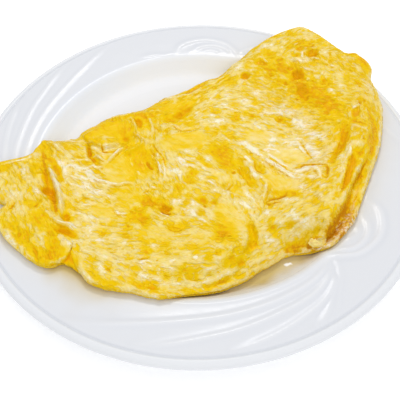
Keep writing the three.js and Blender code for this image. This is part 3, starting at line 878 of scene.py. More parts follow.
    ([(336, 53), (334, 55)], 0.3, 1.4, 0.60),
    ([(340, 60), (346, 66)], 0.1, 4.0, 0.15),
    ([(354, 66), (356, 70)], 0.1, 2.0, 0.20),
    ([(361, 57), (363, 62), (366, 67)], 0.5, 2.6, -0.65),
    ([(338, 73), (344, 75)], 0.0, 2.2, 0.30),
    ([(345, 75), (348, 78)], -0.3, 1.8, -0.65),
    ([(354, 82), (359, 84)], -0.4, 2.4, -0.70),
    ([(359, 87), (360, 86)], -0.4, 0.6, -0.90),
    ([(326, 91), (332, 92), (336, 95)], 0.3, 2.0, 0.80),
    ([(341, 84), (345, 88)], 0.2, 2.4, 0.65),
    ([(352, 88), (357, 88)], 0.2, 1.3, 0.60),
    ([(336.5, 96), (337.5, 96)], -0.5, 0.7, -0.60, 0.4),
    ([(368, 90), (369, 90)], -0.5, 0.7, -0.60, 0.4),
    ([(373, 87), (374, 87)], -0.4, 0.6, -0.60, 0.4),
    ([(364, 100), (365.5, 100)], -0.5, 0.8, -0.80, 0.3),
    ([(352, 93), (355, 94)], -0.3, 1.2, -0.60),
    ([(370, 88), (372, 93)], 0.2, 1.8, 0.65),
    ([(358, 98), (364, 99)], -0.3, 2.0, -0.65),
    ([(359, 101), (361, 104)], -0.6, 0.8, -1.10, 0.3),
    ([(352, 109), (356, 106), (360, 104)], 0.6, 1.0, 0.95),
    ([(357, 112), (356, 118)], -0.5, 1.8, -0.90),
    ([(363, 116), (366, 118)], -0.1, 2.2, -0.50),
    ([(352, 113), (360, 111)], -0.3, 1.6, -0.75),
    ([(379, 97), (381, 108), (381, 120), (380, 133), (379, 145), (376, 153), (372, 161)], 0.3, 1.0, 0.45),
    ([(371, 112), (373, 122), (374, 132), (372, 142), (371, 152), (367, 160)], -0.5, 2.0, -0.85),
    ([(352, 124), (360, 127), (368, 131)], 0.5, 1.2, 0.60),
    ([(352, 120), (361, 122), (369, 126)], -0.4, 1.3, -0.70),
    ([(352, 141), (358, 142), (362, 140)], 0.3, 1.4, 0.75),
    ([(363, 138.5), (364.5, 138.5)], -0.5, 0.6, -0.60, 0.5),
    ([(262, 103), (270, 108), (280, 105)], 0.2, 3.0, 0.15),
    ([(282, 110), (290, 112), (296, 113)], 0.4, 1.8, 0.95),
    ([(268, 106), (272, 107)], -0.3, 0.8, -0.80),
    ([(279, 118), (281, 121), (286, 123)], -0.8, 2.6, -1.10),
    ([(270, 116), (276, 116)], -0.2, 1.5, -0.50),
    ([(289, 120), (288, 125)], -0.2, 2.5, -0.60),
    ([(262, 113), (275, 113), (284, 113)], 0.4, 0.8, 0.70),
    ([(293, 119), (296, 124), (300, 128)], 0.4, 1.8, 0.95),
    ([(302, 124), (306, 127)], 0.4, 1.6, 0.80),
    ([(252, 123), (259, 127), (263, 128)], 0.4, 1.8, 0.90),
    ([(254, 113), (256, 118)], -0.5, 2.2, -0.85),
    ([(313, 127), (318, 127)], -0.3, 1.8, -0.70),
    # --- right end, middle
    ([(305, 132), (313, 134), (322, 136), (327, 134)], 0.4, 2.0, 1.00),
    ([(332, 133), (333, 140)], -0.3, 3.0, -0.75),
    ([(337, 126), (339, 131)], -0.2, 2.5, -0.60),
    ([(346, 124), (346, 132), (343, 141), (339, 148), (335, 154), (332, 161)], -1.3, 1.8, -1.15),
    ([(332, 147), (336, 146)], 0.3, 1.2, 0.60),
    ([(318, 142), (322, 146)], -0.3, 2.4, -0.60),
    ([(288, 144), (296, 143), (300, 145)], 0.4, 1.0, 0.80),
    ([(298, 144), (301, 149), (305, 153), (309, 157)], 0.4, 0.7, 0.70),
    ([(305, 149), (311, 150), (317, 153)], 0.4, 1.8, 0.85),
    ([(312, 158), (319, 160)], 0.2, 1.8, 0.50),
    ([(294, 168), (299, 166), (303, 164)], -0.5, 1.2, -0.55),
    ([(293, 169), (299, 168.5), (303, 165), (309, 164.3), (317, 164.3), (325, 165), (327.5, 168), (327, 173), (326, 178)], -0.55, 0.6, -0.45, 0.4),
    ([(262, 158), (270, 163), (279, 168.5), (287, 174), (293, 177.5), (300, 177)], 0.8, 1.3, 1.45),
    ([(268, 155), (276, 160), (284, 165), (291, 169)], 0.5, 1.0, 1.25),
    ([(258, 159), (265, 165), (273, 170.5), (281, 175)], 0.4, 0.7, 1.15),
    ([(266, 158.5), (274, 163.5), (282, 168.5), (290, 173.5), (297, 174)], 0.5, 0.7, 1.35),
    ([(260, 161.5), (268, 167), (276, 172), (283, 176.5)], -0.5, 0.5, -0.75),
    ([(270, 158), (278, 163), (286, 167.5)], -0.4, 0.5, -0.55),
    ([(247, 146), (252, 151), (257, 154), (264, 156)], 0.4, 1.2, 1.25),
    ([(241, 143), (246, 148), (250, 153)], 0.4, 0.8, 1.05),
    ([(262, 152), (268, 149), (275, 150), (280, 153)], 0.4, 0.8, 1.00),
    ([(281, 144), (288, 142), (295, 142), (300, 144)], 0.4, 0.7, 1.00),
    ([(272, 168), (276, 165)], -0.5, 0.5, -0.60),
    ([(300, 171), (306, 169), (311, 167)], 0.5, 1.3, 0.95),
    ([(314, 166), (318, 170), (321, 176)], 0.5, 1.3, 0.85),
    ([(306, 172), (309, 174)], -0.4, 1.8, -0.75),
    ([(304, 178), (310, 180), (318, 183)], -0.5, 2.0, -1.00),
    ([(322, 174), (324, 178)], -0.2, 1.2, -0.60),
    ([(299, 186), (304, 187)], 0.5, 1.4, 1.10),
    ([(313, 185), (318, 190)], -0.4, 2.0, -1.00),
    ([(290, 192), (300, 194), (308, 196)], -0.3, 1.8, -0.80),
    ([(330, 178), (331, 184), (329, 190)], -0.2, 2.5, -0.60),
    ([(335, 182), (334, 190), (331, 197)], 0.3, 1.4, 0.20),
    ([(320, 193), (322, 197)], 0.3, 1.2, 0.60),
    ([(312, 197), (314, 204)], -0.4, 1.8, -0.60),
    ([(316, 188), (322, 198), (324, 203)], 0.2, 1.0, 0.30),
    ([(342, 155), (344, 162), (346, 168)], 0.4, 2.0, 0.80),
    ([(350, 144), (350.5, 152), (350, 158)], 0.6, 1.1, 0.80),
    ([(343, 161), (345, 165)], -0.2, 1.2, -0.40),
    ([(356, 149), (354, 156), (352, 163), (350, 170), (348, 177), (346, 183), (343, 188)], -1.1, 1.6, -1.10),
    ([(345, 184), (343, 188)], -0.3, 0.7, -0.80),
    ([(360, 150), (361, 156)], -0.2, 2.4, -0.85),
    ([(363, 154), (359.5, 162), (356, 169), (353, 175), (350, 181), (347.5, 187), (344.5, 193), (341.5, 200), (338.5, 207)], 0.9, 0.7, 0.45),
    ([(343, 190), (340, 196), (336, 203), (333, 210)], 0.3, 1.3, 0.10),
    ([(337, 192), (333, 200)], -0.3, 1.2, -0.40),
    # --- right edge, lower leaf
    ([(368, 158), (364.5, 163), (361.5, 168.5), (359, 174), (355, 180), (352, 186), (350, 192)], -0.5, 0.8, -0.80, 0.5),
    ([(366, 166), (363, 174), (360, 181)], 0.0, 2.0, -0.40, 0.12),
    ([(369, 172), (366, 183), (361, 193)], 0.25, 1.0, 0.35),
    ([(361, 177), (363, 176)], -0.5, 0.7, -0.5, 0.5),
    ([(370, 182), (370.5, 184)], -0.3, 0.6, -0.4, 0.5),
    ([(356, 190), (354, 197), (353, 203)], 0.2, 1.5, 0.30, 0.10),
    ([(359, 199), (361, 206)], 0.4, 1.1, -0.60),
    ([(350, 195), (347, 203), (343, 210), (339, 216)], -0.2, 1.5, -1.10, 0.25),
    ([(347, 208), (342, 213), (338, 218), (335, 222)], -0.3, 1.3, -0.90, 0.80),
    ([(335, 225), (332, 231), (329, 236), (326, 241)], -0.3, 2.0, -0.90, 0.85),
    ([(354, 208), (351, 216), (346, 224), (338, 233), (333, 240)], 0.2, 3.4, 0.15, 0.42),
    ([(358, 208), (357, 215), (355, 222), (351, 228)], 0.2, 0.9, 0.80, 0.1),
    ([(343, 216), (339, 223), (341, 228)], 0.4, 0.8, 0.50, 0.1),
    ([(349, 230), (343, 235), (337, 240)], 0.2, 0.9, -0.10, 0.35),
    ([(333, 232), (328, 237), (325, 243)], 0.3, 0.7, 0.50, 0.1),
    # --- lower right of the body
    ([(310, 215), (317, 216)], 0.2, 1.8, 0.60),
    ([(290, 212), (297, 214)], 0.3, 2.0, 0.60),
    ([(292, 220), (300, 217)], 0.4, 1.2, 0.80),
    ([(300, 225), (308, 224), (316, 225)], 0.3, 1.6, 0.70),
    ([(312, 232), (318, 235)], -0.4, 2.0, -0.95),
    ([(306, 241), (298, 244), (292, 246)], -0.4, 1.6, -0.85),
    ([(295, 248.5), (303, 247), (309, 243), (312, 240)], 0.5, 0.7, 0.25),
    ([(307, 246.5), (311, 247)], -0.9, 0.9, -1.0, 0.8),
    ([(284, 251.5), (292, 251), (300, 250)], -0.5, 1.0, -1.00, 0.2),
    ([(285, 225), (290, 223), (295, 220)], -0.4, 1.5, -0.60),
    ([(276, 224), (286, 221), (296, 218)], 0.4, 0.9, 0.60),
    ([(283, 236), (291, 236)], -0.2, 2.6, -0.45),
    ([(280, 243), (283, 242)], -0.3, 1.5, -0.50),
    ([(270, 236), (272, 246), (270, 254)], 0.2, 2.6, 0.50),
    # --- centre
    ([(240, 160), (243, 167), (247, 175), (251, 181), (255, 186)], -1.2, 2.0, -1.00),
    ([(232, 172), (236, 170)], -0.6, 1.2, -1.00),
    ([(238, 172), (234, 176)], 0.3, 0.7, 0.70),
    ([(227, 190), (230, 187), (233, 183)], -0.9, 0.6, -1.15),
    ([(231, 193), (234, 188), (236, 184)], -0.2, 1.4, -0.50),
    ([(222, 177), (230, 178)], 0.1, 3.0, 0.35),
    ([(206, 180), (211, 183), (218, 186)], 0.7, 0.9, 1.15),
    ([(200, 187), (208, 188)], 0.2, 1.4, 0.50),
    ([(190, 166), (196, 168)], 0.4, 1.2, 0.70),
    ([(243, 155), (247, 158), (250, 162)], 0.6, 1.3, 1.20),
    ([(250, 165), (253, 172), (258, 178)], 0.6, 1.3, 0.55),
    ([(254, 148), (256, 156)], 0.5, 1.6, 1.00),
    ([(262, 149), (270, 152)], 0.3, 1.3, 0.80),
    ([(255, 160), (255.5, 166)], -0.6, 0.7, -0.80),
    ([(258, 164), (262, 170), (265, 174)], -0.9, 1.9, -1.00),
    ([(259, 177), (263, 177)], 0.3, 1.2, 0.90),
    ([(263, 181), (263, 190)], -0.3, 1.0, -0.35),
    ([(266, 180), (266, 188), (264, 196), (263, 200)], 0.5, 0.9, 0.75),
    ([(269, 185), (267.5, 193), (265.5, 200), (264, 204)], -0.9, 0.7, -0.55),
    ([(270, 194), (278, 194), (288, 193), (296, 195)], -0.5, 1.8, -0.85),
    ([(268, 200), (274, 199), (281, 197), (287, 195)], -0.7, 0.8, -1.10, 0.35),
    ([(266, 203), (271, 204), (277, 202), (282, 201)], -0.6, 1.0, -1.10, 0.25),
    ([(268, 207), (273, 207)], -0.5, 1.8, -0.90),
    ([(285, 201), (289, 199)], 0.4, 0.9, 0.75),
    ([(199, 199), (204, 201), (206, 204)], -0.8, 1.5, -1.15),
    ([(204, 205), (206, 206)], -0.5, 0.7, -0.80, 0.3),
    ([(210, 200), (218, 204)], -0.3, 2.4, -0.70),
    ([(198, 197), (207, 197)], -0.3, 1.6, -0.75),
    ([(188, 192), (190, 197)], -0.5, 2.0, -0.70),
    ([(190, 171), (196, 172), (199, 170)], -0.4, 1.6, -0.75),
    ([(212, 174), (219, 176)], -0.2, 2.0, -0.40),
    ([(205, 163), (213, 167)], -0.5, 1.4, -0.70),
    ([(243, 211), (248, 212)], -0.6, 2.0, -0.95),
    ([(254, 211), (255, 213)], -0.3, 1.2, -0.70),
    ([(260, 207), (262, 213)], -0.3, 1.8, -0.60),
    ([(218, 211), (219, 217)], -0.2, 1.6, -0.40),
    ([(222, 222), (221, 228), (222, 235), (226, 241)], -0.4, 3.0, -0.75),
    ([(217, 234), (226, 236)], -0.3, 3.0, -0.55),
    ([(236, 233), (234, 236)], -0.2, 2.0, -0.45),
    ([(248, 218), (251, 224), (253, 230), (254, 237), (252, 243), (248, 248), (244, 251)], -1.4, 2.1, -0.95),
    ([(245.5, 248), (244, 252)], -0.4, 0.8, -0.70),
    ([(246, 231), (247, 238), (245, 245), (242, 250)], 0.5, 0.9, 0.40),
    ([(254, 219), (257, 226), (259, 233), (258, 241)], 0.6, 1.3, 0.30),
    ([(240, 219), (247, 220)], 0.3, 0.8, 0.30),
    ([(268, 226), (272, 229), (277, 231)], -0.7, 1.9, -1.00),
    ([(266, 225), (262, 230), (261, 236)], 0.3, 1.2, 0.20),
    ([(262, 213), (268, 211)], 0.4, 2.4, 0.85),
    ([(272, 218), (276, 219)], -0.5, 1.4, -0.65),
    ([(263, 240), (266, 240)], -0.3, 1.5, -0.50),
    ([(258, 250), (263, 253)], -0.3, 1.8, -0.60),
    ([(231, 247), (229, 250)], 0.4, 1.3, 0.60),
    ([(215, 251), (222, 252)], -0.5, 1.8, -0.90),
    ([(229, 256), (236, 258)], -0.2, 3.0, -0.55),
    ([(209, 255), (209, 261)], -0.4, 1.5, -0.80),
    ([(218, 247), (222, 247)], 0.3, 0.9, 0.60),
    ([(215, 257), (222, 258)], 0.3, 1.1, 0.50),
    ([(243, 185), (249, 188)], 0.2, 1.4, 0.30),
    ([(243, 190), (248, 193), (252, 197)], 0.4, 1.6, 0.85),
    ([(240, 196), (246, 199)], 0.3, 1.0, 0.60),
    ([(232, 203), (240, 203), (250, 205)], 0.2, 1.5, 0.45),
    ([(222, 193), (227, 195)], 0.4, 1.2, 0.80),
    ([(190, 207), (194, 213)], 0.3, 1.6, 0.65),
    ([(193, 203), (198, 205)], 0.3, 1.4, 0.70),
    ([(207, 210), (210, 215)], 0.3, 1.6, 0.70),
    ([(196, 218), (204, 221), (211, 226)], 0.5, 1.0, 0.75),
    # --- lower centre
    ([(163, 205), (166, 208), (169, 211)], -1.7, 2.0, -1.30),
    ([(161, 209), (164, 212), (168, 213.5), (171, 212.5)], -0.8, 0.7, -0.90, 0.6),
    ([(160, 212), (165, 215), (170, 216)], 0.4, 0.6, 1.05),
    ([(172, 201), (177, 202), (181, 199)], 0.5, 1.6, 1.05),
    ([(169, 223), (173, 227), (178, 228), (184, 225), (188, 221)], -1.0, 2.2, -0.95),
    ([(168, 227), (173, 230), (178, 230), (183, 228)], -0.4, 0.7, -0.60),
    ([(190, 221), (194, 221)], -0.3, 1.5, -0.70),
    ([(127, 222), (133, 219), (138, 217), (143, 219), (146, 223)], -0.8, 3.2, -0.95),
    ([(141, 217), (145, 222), (146, 226)], -0.5, 2.2, -0.60),
    ([(130, 211), (137, 211)], -0.3, 3.0, -0.70),
    ([(126, 223), (129, 227)], -0.5, 1.2, -0.80),
    ([(133, 228), (128, 227)], -0.3, 1.5, -0.70),
    ([(115, 210), (118, 213), (122, 214), (128, 213)], 0.6, 1.0, 1.15),
    ([(121, 216), (127, 216)], 0.3, 0.8, 0.70),
    ([(112, 221), (112, 226)], -0.4, 2.2, -0.70),
    ([(104, 222), (104, 226)], -0.2, 2.0, -0.50),
    ([(101, 232), (106, 233)], -0.6, 2.4, -0.80),
    ([(99, 238), (102, 243)], 0.5, 2.0, 0.90),
    ([(105, 218), (108, 224)], 0.2, 1.6, 0.50),
    ([(107, 236), (113, 237)], 0.2, 1.5, 0.40),
    ([(125, 236), (129, 233)], -0.5, 2.4, -0.80),
    ([(122, 242), (127, 243)], 0.5, 1.6, 0.90),
    ([(134, 227), (140, 228)], 0.2, 1.2, 0.30),
    ([(148, 242), (152, 245), (156, 247)], 0.4, 1.4, 0.85),
    ([(165, 241), (166, 246)], -0.4, 3.0, -0.65),
    ([(145, 242), (147, 248), (150, 253), (153, 254)], -0.4, 2.6, -0.75),
    ([(165, 254), (168, 253)], -0.3, 2.0, -0.60),
    ([(161, 251), (164, 252)], 0.4, 1.2, 0.60),
    ([(150, 257), (143, 258), (136, 259)], -0.8, 0.6, -0.75),
    ([(129, 256), (130, 260)], -0.7, 2.2, -0.95),
    ([(105, 247), (112, 249), (118, 249)], -0.2, 0.8, -0.25),
    ([(109, 252), (116, 252)], -0.3, 0.9, -0.40),
    ([(93, 258), (95, 259)], -0.5, 1.6, -0.70),
    ([(107, 267), (109, 270), (111, 270)], -0.7, 1.8, -0.85),
    ([(98, 265), (102, 270), (106, 274)], 0.4, 1.4, 0.85),
    ([(88, 266), (92, 272), (96, 278)], -0.2, 2.2, -0.35),
    ([(80, 258), (82, 266), (87, 275), (93, 281)], 0.5, 1.2, 0.60),
    ([(100, 281), (106, 283), (112, 286), (118, 286)], -0.6, 2.0, -0.95),
    ([(136, 284), (143, 285), (151, 286), (157, 289)], -0.6, 1.8, -0.85),
    ([(150, 291), (158, 292)], -0.2, 1.0, -0.40),
    ([(146, 266), (152, 267)], 0.3, 1.2, 0.85),
    ([(140, 262), (148, 261), (154, 262)], 0.4, 1.0, 0.95),
    ([(156, 260), (158, 261)], -0.3, 1.0, -0.60),
    ([(137, 273), (142, 276), (148, 279)], 0.3, 2.0, 0.70),
    ([(130, 272), (133, 276), (136, 279)], -0.4, 2.4, -0.70),
    ([(154, 268), (158, 271)], -0.3, 2.2, -0.60),
    ([(178, 275), (186, 275), (184, 278)], -0.4, 2.4, -0.85),
    ([(183, 263), (187, 264)], -0.3, 2.0, -0.60),
    ([(194, 276), (199, 275)], -0.4, 1.8, -0.85),
    ([(189, 279), (198, 279)], -0.4, 0.6, -0.60),
    ([(165, 290), (178, 288), (190, 286)], 0.3, 1.3, 0.45),
    ([(180, 291), (196, 291)], -0.2, 1.6, -0.55),
    ([(150, 295), (157, 296)], 0.3, 1.2, 0.70),
    ([(170, 262), (176, 259)], 0.3, 1.3, 0.60),
    ([(177, 283), (179, 286)], 0.3, 1.4, 0.70),
    ([(188, 246), (194, 247), (198, 246)], -0.5, 1.5, -0.75),
    ([(193, 256), (198, 258)], 0.5, 1.2, 0.95),
    ([(189, 239), (196, 241)], 0.3, 1.0, 0.50),
    # --- front margin
    ([(200, 284), (212, 281), (224, 276), (234, 270)], 0.5, 1.1, 0.70),
    ([(205, 287), (218, 283), (230, 277)], -0.4, 1.3, -0.75),
    ([(243, 268), (252, 263), (262, 258)], 0.4, 1.1, 0.45),
    ([(222, 266), (230, 262), (238, 259)], -0.3, 1.4, -0.50),
    ([(204, 270), (212, 268), (220, 265)], 0.4, 1.0, 0.65),
    ([(237, 264), (245, 260)], -0.4, 1.6, -0.80),
    ([(258, 262), (266, 258), (274, 256)], 0.3, 0.9, 0.55),
]
# (u, v, radius mm, depth, tone)
PITS = [
    (297.5, 72.5, 2.7, 1.2, -1.4), (303.5, 88.0, 2.6, 0.8, -0.9), (245, 75.5, 2.2, 0.8, -0.8), (45.7, 188.5, 2.4, 1.1, -1.2), (278.5, 118.5, 2.0, 0.9, -0.9), (312, 53, 3.1, 2.6, -1.70), (187, 202, 1.9, 0.9, -0.95), (200, 212, 2.1, 0.9, -0.95), (165, 275, 2.4, 0.6, -0.80),
    ]
# broad rises and hollows: (points, height, half width)
MOUNDS = [
    ([(314, 243.5), (318.5, 243.5)], 3.6, 2.2),
    ([(85, 133), (100, 131), (115, 128), (126, 124)], 1.2, 7.0),
    ([(144, 150), (143, 168)], -1.0, 8.0),
    ([(176, 117), (186, 116)], -1.0, 6.0),
    ([(172, 142), (200, 140)], 0.8, 7.0),
    ([(247, 172), (254, 190)], -1.2, 6.0),
    ([(275, 182), (290, 186)], 0.5, 7.0),
    ([(46, 180), (50, 196), (60, 214)], -1.2, 5.0),
    ([(250, 226), (254, 240)], -1.2, 6.0),
    ([(218, 152), (230, 160)], -0.9, 8.0),
    ([(60, 228), (72, 234)], -0.8, 5.0),
    ([(345, 125), (340, 146)], -0.8, 5.0),
    ([(352, 150), (347, 178)], -0.8, 4.0),
    ([(296, 70), (303, 95)], -0.8, 7.0),
]
# smooth wet film: (points, half width, amount)
FILMS = [
    ([(118, 163), (120, 170), (122, 177)], 7.5, 0.95),
    ([(172, 143), (185, 142), (197, 140)], 5.5, 0.95),
    ([(88, 134), (100, 130), (114, 130), (124, 134)], 5.5, 0.85),
    ([(141, 150), (139, 160), (145, 170)], 5.0, 0.8),
    ([(124, 190), (134, 196), (128, 203)], 5.0, 0.6),
    ([(98, 209), (106, 212)], 4.0, 0.8),
    ([(150, 232), (168, 234)], 4.5, 0.5),
    ([(273, 180), (281, 184), (288, 185)], 5.2, 0.95),
    ([(280, 153), (289, 155), (297, 157)], 4.6, 0.9),
    ([(252, 135), (262, 137)], 4.6, 0.9),
    ([(226, 212), (232, 220), (234, 226)], 5.5, 0.75),
    ([(222, 177), (230, 178)], 3.6, 0.7),
    ([(310, 88), (318, 93)], 4.0, 0.5),
    ([(361, 57), (363, 62), (366, 68)], 3.0, 0.8),
    ([(67, 256), (72, 264)], 4.0, 0.8),
    ([(62, 229), (74, 234)], 2.4, 0.7),
    ([(222, 153), (232, 162)], 4.0, 0.5),
    ([(196, 238), (206, 240)], 4.0, 0.5),
    ([(168, 108), (186, 104)], 3.5, 0.6),
    ([(143, 114), (146, 128)], 2.4, 0.6),
    ([(248, 228), (250, 242)], 2.6, 0.7),
    ([(36, 214), (46, 226)], 3.4, 0.5),
]


# broad changes of tone, the paler ones partly painted sheen: (points, half width mm, tone)
WASHES = [
    ([(93, 131), (105, 124), (122, 121), (140, 118)], 8.0, -0.45),
    ([(140, 116), (158, 113), (176, 111), (188, 104), (200, 96)], 5.5, -0.50),
    ([(122, 138), (136, 148), (142, 162)], 7.0, -0.40),
    ([(44, 158), (46, 176), (49, 196)], 4.5, -0.22),
    ([(22, 214), (34, 232), (40, 252), (52, 262)], 11.0, -0.38),
    ([(58, 228), (66, 240), (58, 254)], 6.0, -0.30),
    ([(141, 213), (152, 204), (166, 198)], 7.0, -0.30),
    ([(214, 148), (228, 158), (238, 170), (240, 186)], 6.5, -0.40),
    ([(262, 62), (282, 70), (300, 82), (318, 98), (334, 110)], 9.0, -0.72),
    ([(298, 44), (312, 52)], 6.0, -0.45),
    ([(350, 120), (344, 138), (334, 154), (326, 168)], 5.0, -0.40),
    ([(372, 108), (373, 128), (368, 148)], 4.0, -0.30),
    ([(160, 206), (168, 209)], 3.6, -0.8),
    ([(266, 198), (284, 192)], 5.0, -0.30),
    ([(224, 228), (244, 246), (258, 236)], 7.0, -0.28),
    ([(352, 54), (364, 64)], 5.0, -0.35),
    ([(357, 158), (353, 178), (349, 196)], 5.5, -0.45),
    ([(344, 206), (335, 222), (328, 232)], 4.5, -0.40),
    ([(255, 58), (268, 66)], 7.0, 0.30),
    ([(230, 158), (244, 168)], 8.0, 0.22),
    ([(232, 186), (250, 188)], 9.0, 0.28),
    ([(282, 186), (318, 190)], 9.0, 0.24),
    ([(182, 210), (196, 214)], 8.0, 0.24),
    ([(8, 206), (20, 214)], 7.0, 0.28),
    ([(254, 236), (268, 240)], 8.0, 0.30),
    ([(56, 232), (70, 240)], 8.0, 0.24),
    ([(82, 182), (96, 192)], 9.0, 0.26),
    ([(206, 84), (220, 94)], 7.0, -0.25),
    ([(256, 108), (268, 118)], 7.0, -0.28),
    ([(262, 140), (280, 152), (298, 144), (316, 152), (306, 168)], 9.5, 0.55),
    ([(272, 112), (292, 118), (306, 126)], 7.0, 0.40),
    ([(206, 118), (222, 110), (242, 106), (258, 116)], 8.0, 0.24),
    ([(204, 98), (216, 92), (232, 92)], 6.0, 0.30),
    ([(66, 170), (78, 168), (96, 184)], 6.5, 0.42),
    ([(84, 222), (92, 244), (112, 256), (136, 263)], 7.5, 0.26),
    ([(250, 204), (276, 206), (298, 218), (312, 226)], 6.5, 0.16),
    ([(168, 170), (186, 158)], 6.0, 0.25),
    ([(338, 62), (352, 72), (360, 86)], 7.0, -0.22),
    ([(370, 84), (376, 96)], 3.5, 0.10),
    ([(368, 108), (371, 128), (366, 146)], 5.0, -0.22),
    ([(256, 52), (264, 48), (276, 42)], 4.0, 0.25),
    ([(222, 84), (232, 76)], 4.0, -0.25),
    ([(256, 196), (246, 206), (240, 216)], 5.0, 0.20),
    ([(300, 218), (286, 222)], 5.0, 0.06),
    ([(2, 166), (6, 180)], 5.0, -0.15),
    ([(12, 196), (28, 190)], 5.0, 0.20),
    ([(160, 272), (190, 280), (214, 276)], 6.0, 0.15),
]
# lightly browned areas: (points, half width mm, amount)
BROWNED = [
    ([(300, 46), (312, 56), (300, 74), (300, 96), (312, 108)], 8.0, 0.10),
    ([(332, 60), (356, 66), (366, 84), (362, 108), (352, 126)], 8.0, 0.10),
    ([(262, 92), (284, 106), (306, 124), (326, 146), (318, 168), (308, 186)], 10.0, 0.09),
    ([(346, 140), (336, 152), (330, 162)], 3.0, 0.14),
    ([(374, 110), (372, 130)], 4.0, 0.06),
    ([(228, 186), (200, 202), (166, 208)], 6.0, 0.04),
    ([(272, 196), (300, 190), (312, 200)], 6.0, 0.09),
    ([(45, 184), (47, 192)], 3.0, 0.16),
    ([(300, 244), (318, 236), (328, 226)], 3.0, 0.16),
]
# run of the crinkles: image point and direction in plan, degrees
FLOW = [
    (10, 180, -68), (30, 170, -65), (10, 220, -75), (30, 230, -60), (50, 180, -65), (50, 210, -70), (30, 255, -45), (60, 250, -88),
    (90, 140, -40), (90, 160, -35), (110, 165, -37), (110, 145, 10), (90, 185, -30), (110, 185, -15), (90, 205, -25), (110, 205, -18),
    (75, 215, -45), (130, 130, -80), (150, 130, -78), (130, 150, 60), (150, 160, -74), (170, 160, -65), (150, 185, -70), (170, 185, -65),
    (170, 200, -50), (170, 110, 10), (190, 100, 30), (210, 90, 33), (222, 85, 35), (190, 125, 18), (190, 145, 0), (210, 145, -22),
    (210, 170, -25), (190, 190, -45), (210, 200, -28), (230, 100, -15), (250, 90, -28), (270, 80, -25), (290, 90, -30), (310, 85, -20),
    (330, 85, -40), (290, 120, -30), (270, 140, -40), (250, 130, -27), (230, 130, -20), (250, 160, -50), (270, 165, -50), (270, 185, -60),
    (250, 190, -70), (230, 180, 68), (290, 150, 0), (310, 150, 5), (310, 165, 10), (290, 200, 70), (310, 200, 25), (330, 190, 20),
    (330, 160, 0), (310, 45, 20), (290, 45, 28), (330, 45, 14), (300, 65, -70), (320, 65, -65), (340, 65, -60), (350, 68, -50),
    (350, 90, -30), (340, 110, -20), (360, 110, 70), (375, 110, 85), (350, 140, 71), (370, 140, 80), (350, 165, 72), (368, 160, 70),
    (345, 185, 65), (335, 205, 60), (340, 225, 60), (320, 220, 30), (320, 235, 10), (300, 225, 25), (280, 215, 20), (110, 225, 0),
    (130, 225, -15), (150, 220, -40), (170, 225, -25), (190, 220, -5), (210, 220, -30), (230, 230, -30), (250, 220, -65), (90, 230, -15),
    (110, 245, 8), (130, 240, 8), (150, 245, -30), (170, 245, -12), (190, 240, -10), (210, 240, -8), (230, 245, -10), (250, 250, 45),
    (285, 240, 44), (300, 240, 25), (90, 270, -50), (110, 265, -35), (130, 265, -15), (150, 265, -14), (170, 265, -5), (190, 265, -8),
    (210, 260, 15), (230, 262, 29), (250, 258, 42), (270, 255, 36), (290, 250, 22), (100, 280, -45), (120, 285, -35), (140, 285, -24),
    (160, 290, -18), (180, 290, -3), (200, 285, 5), (220, 282, 10), (240, 278, 24), (255, 272, 32),
]


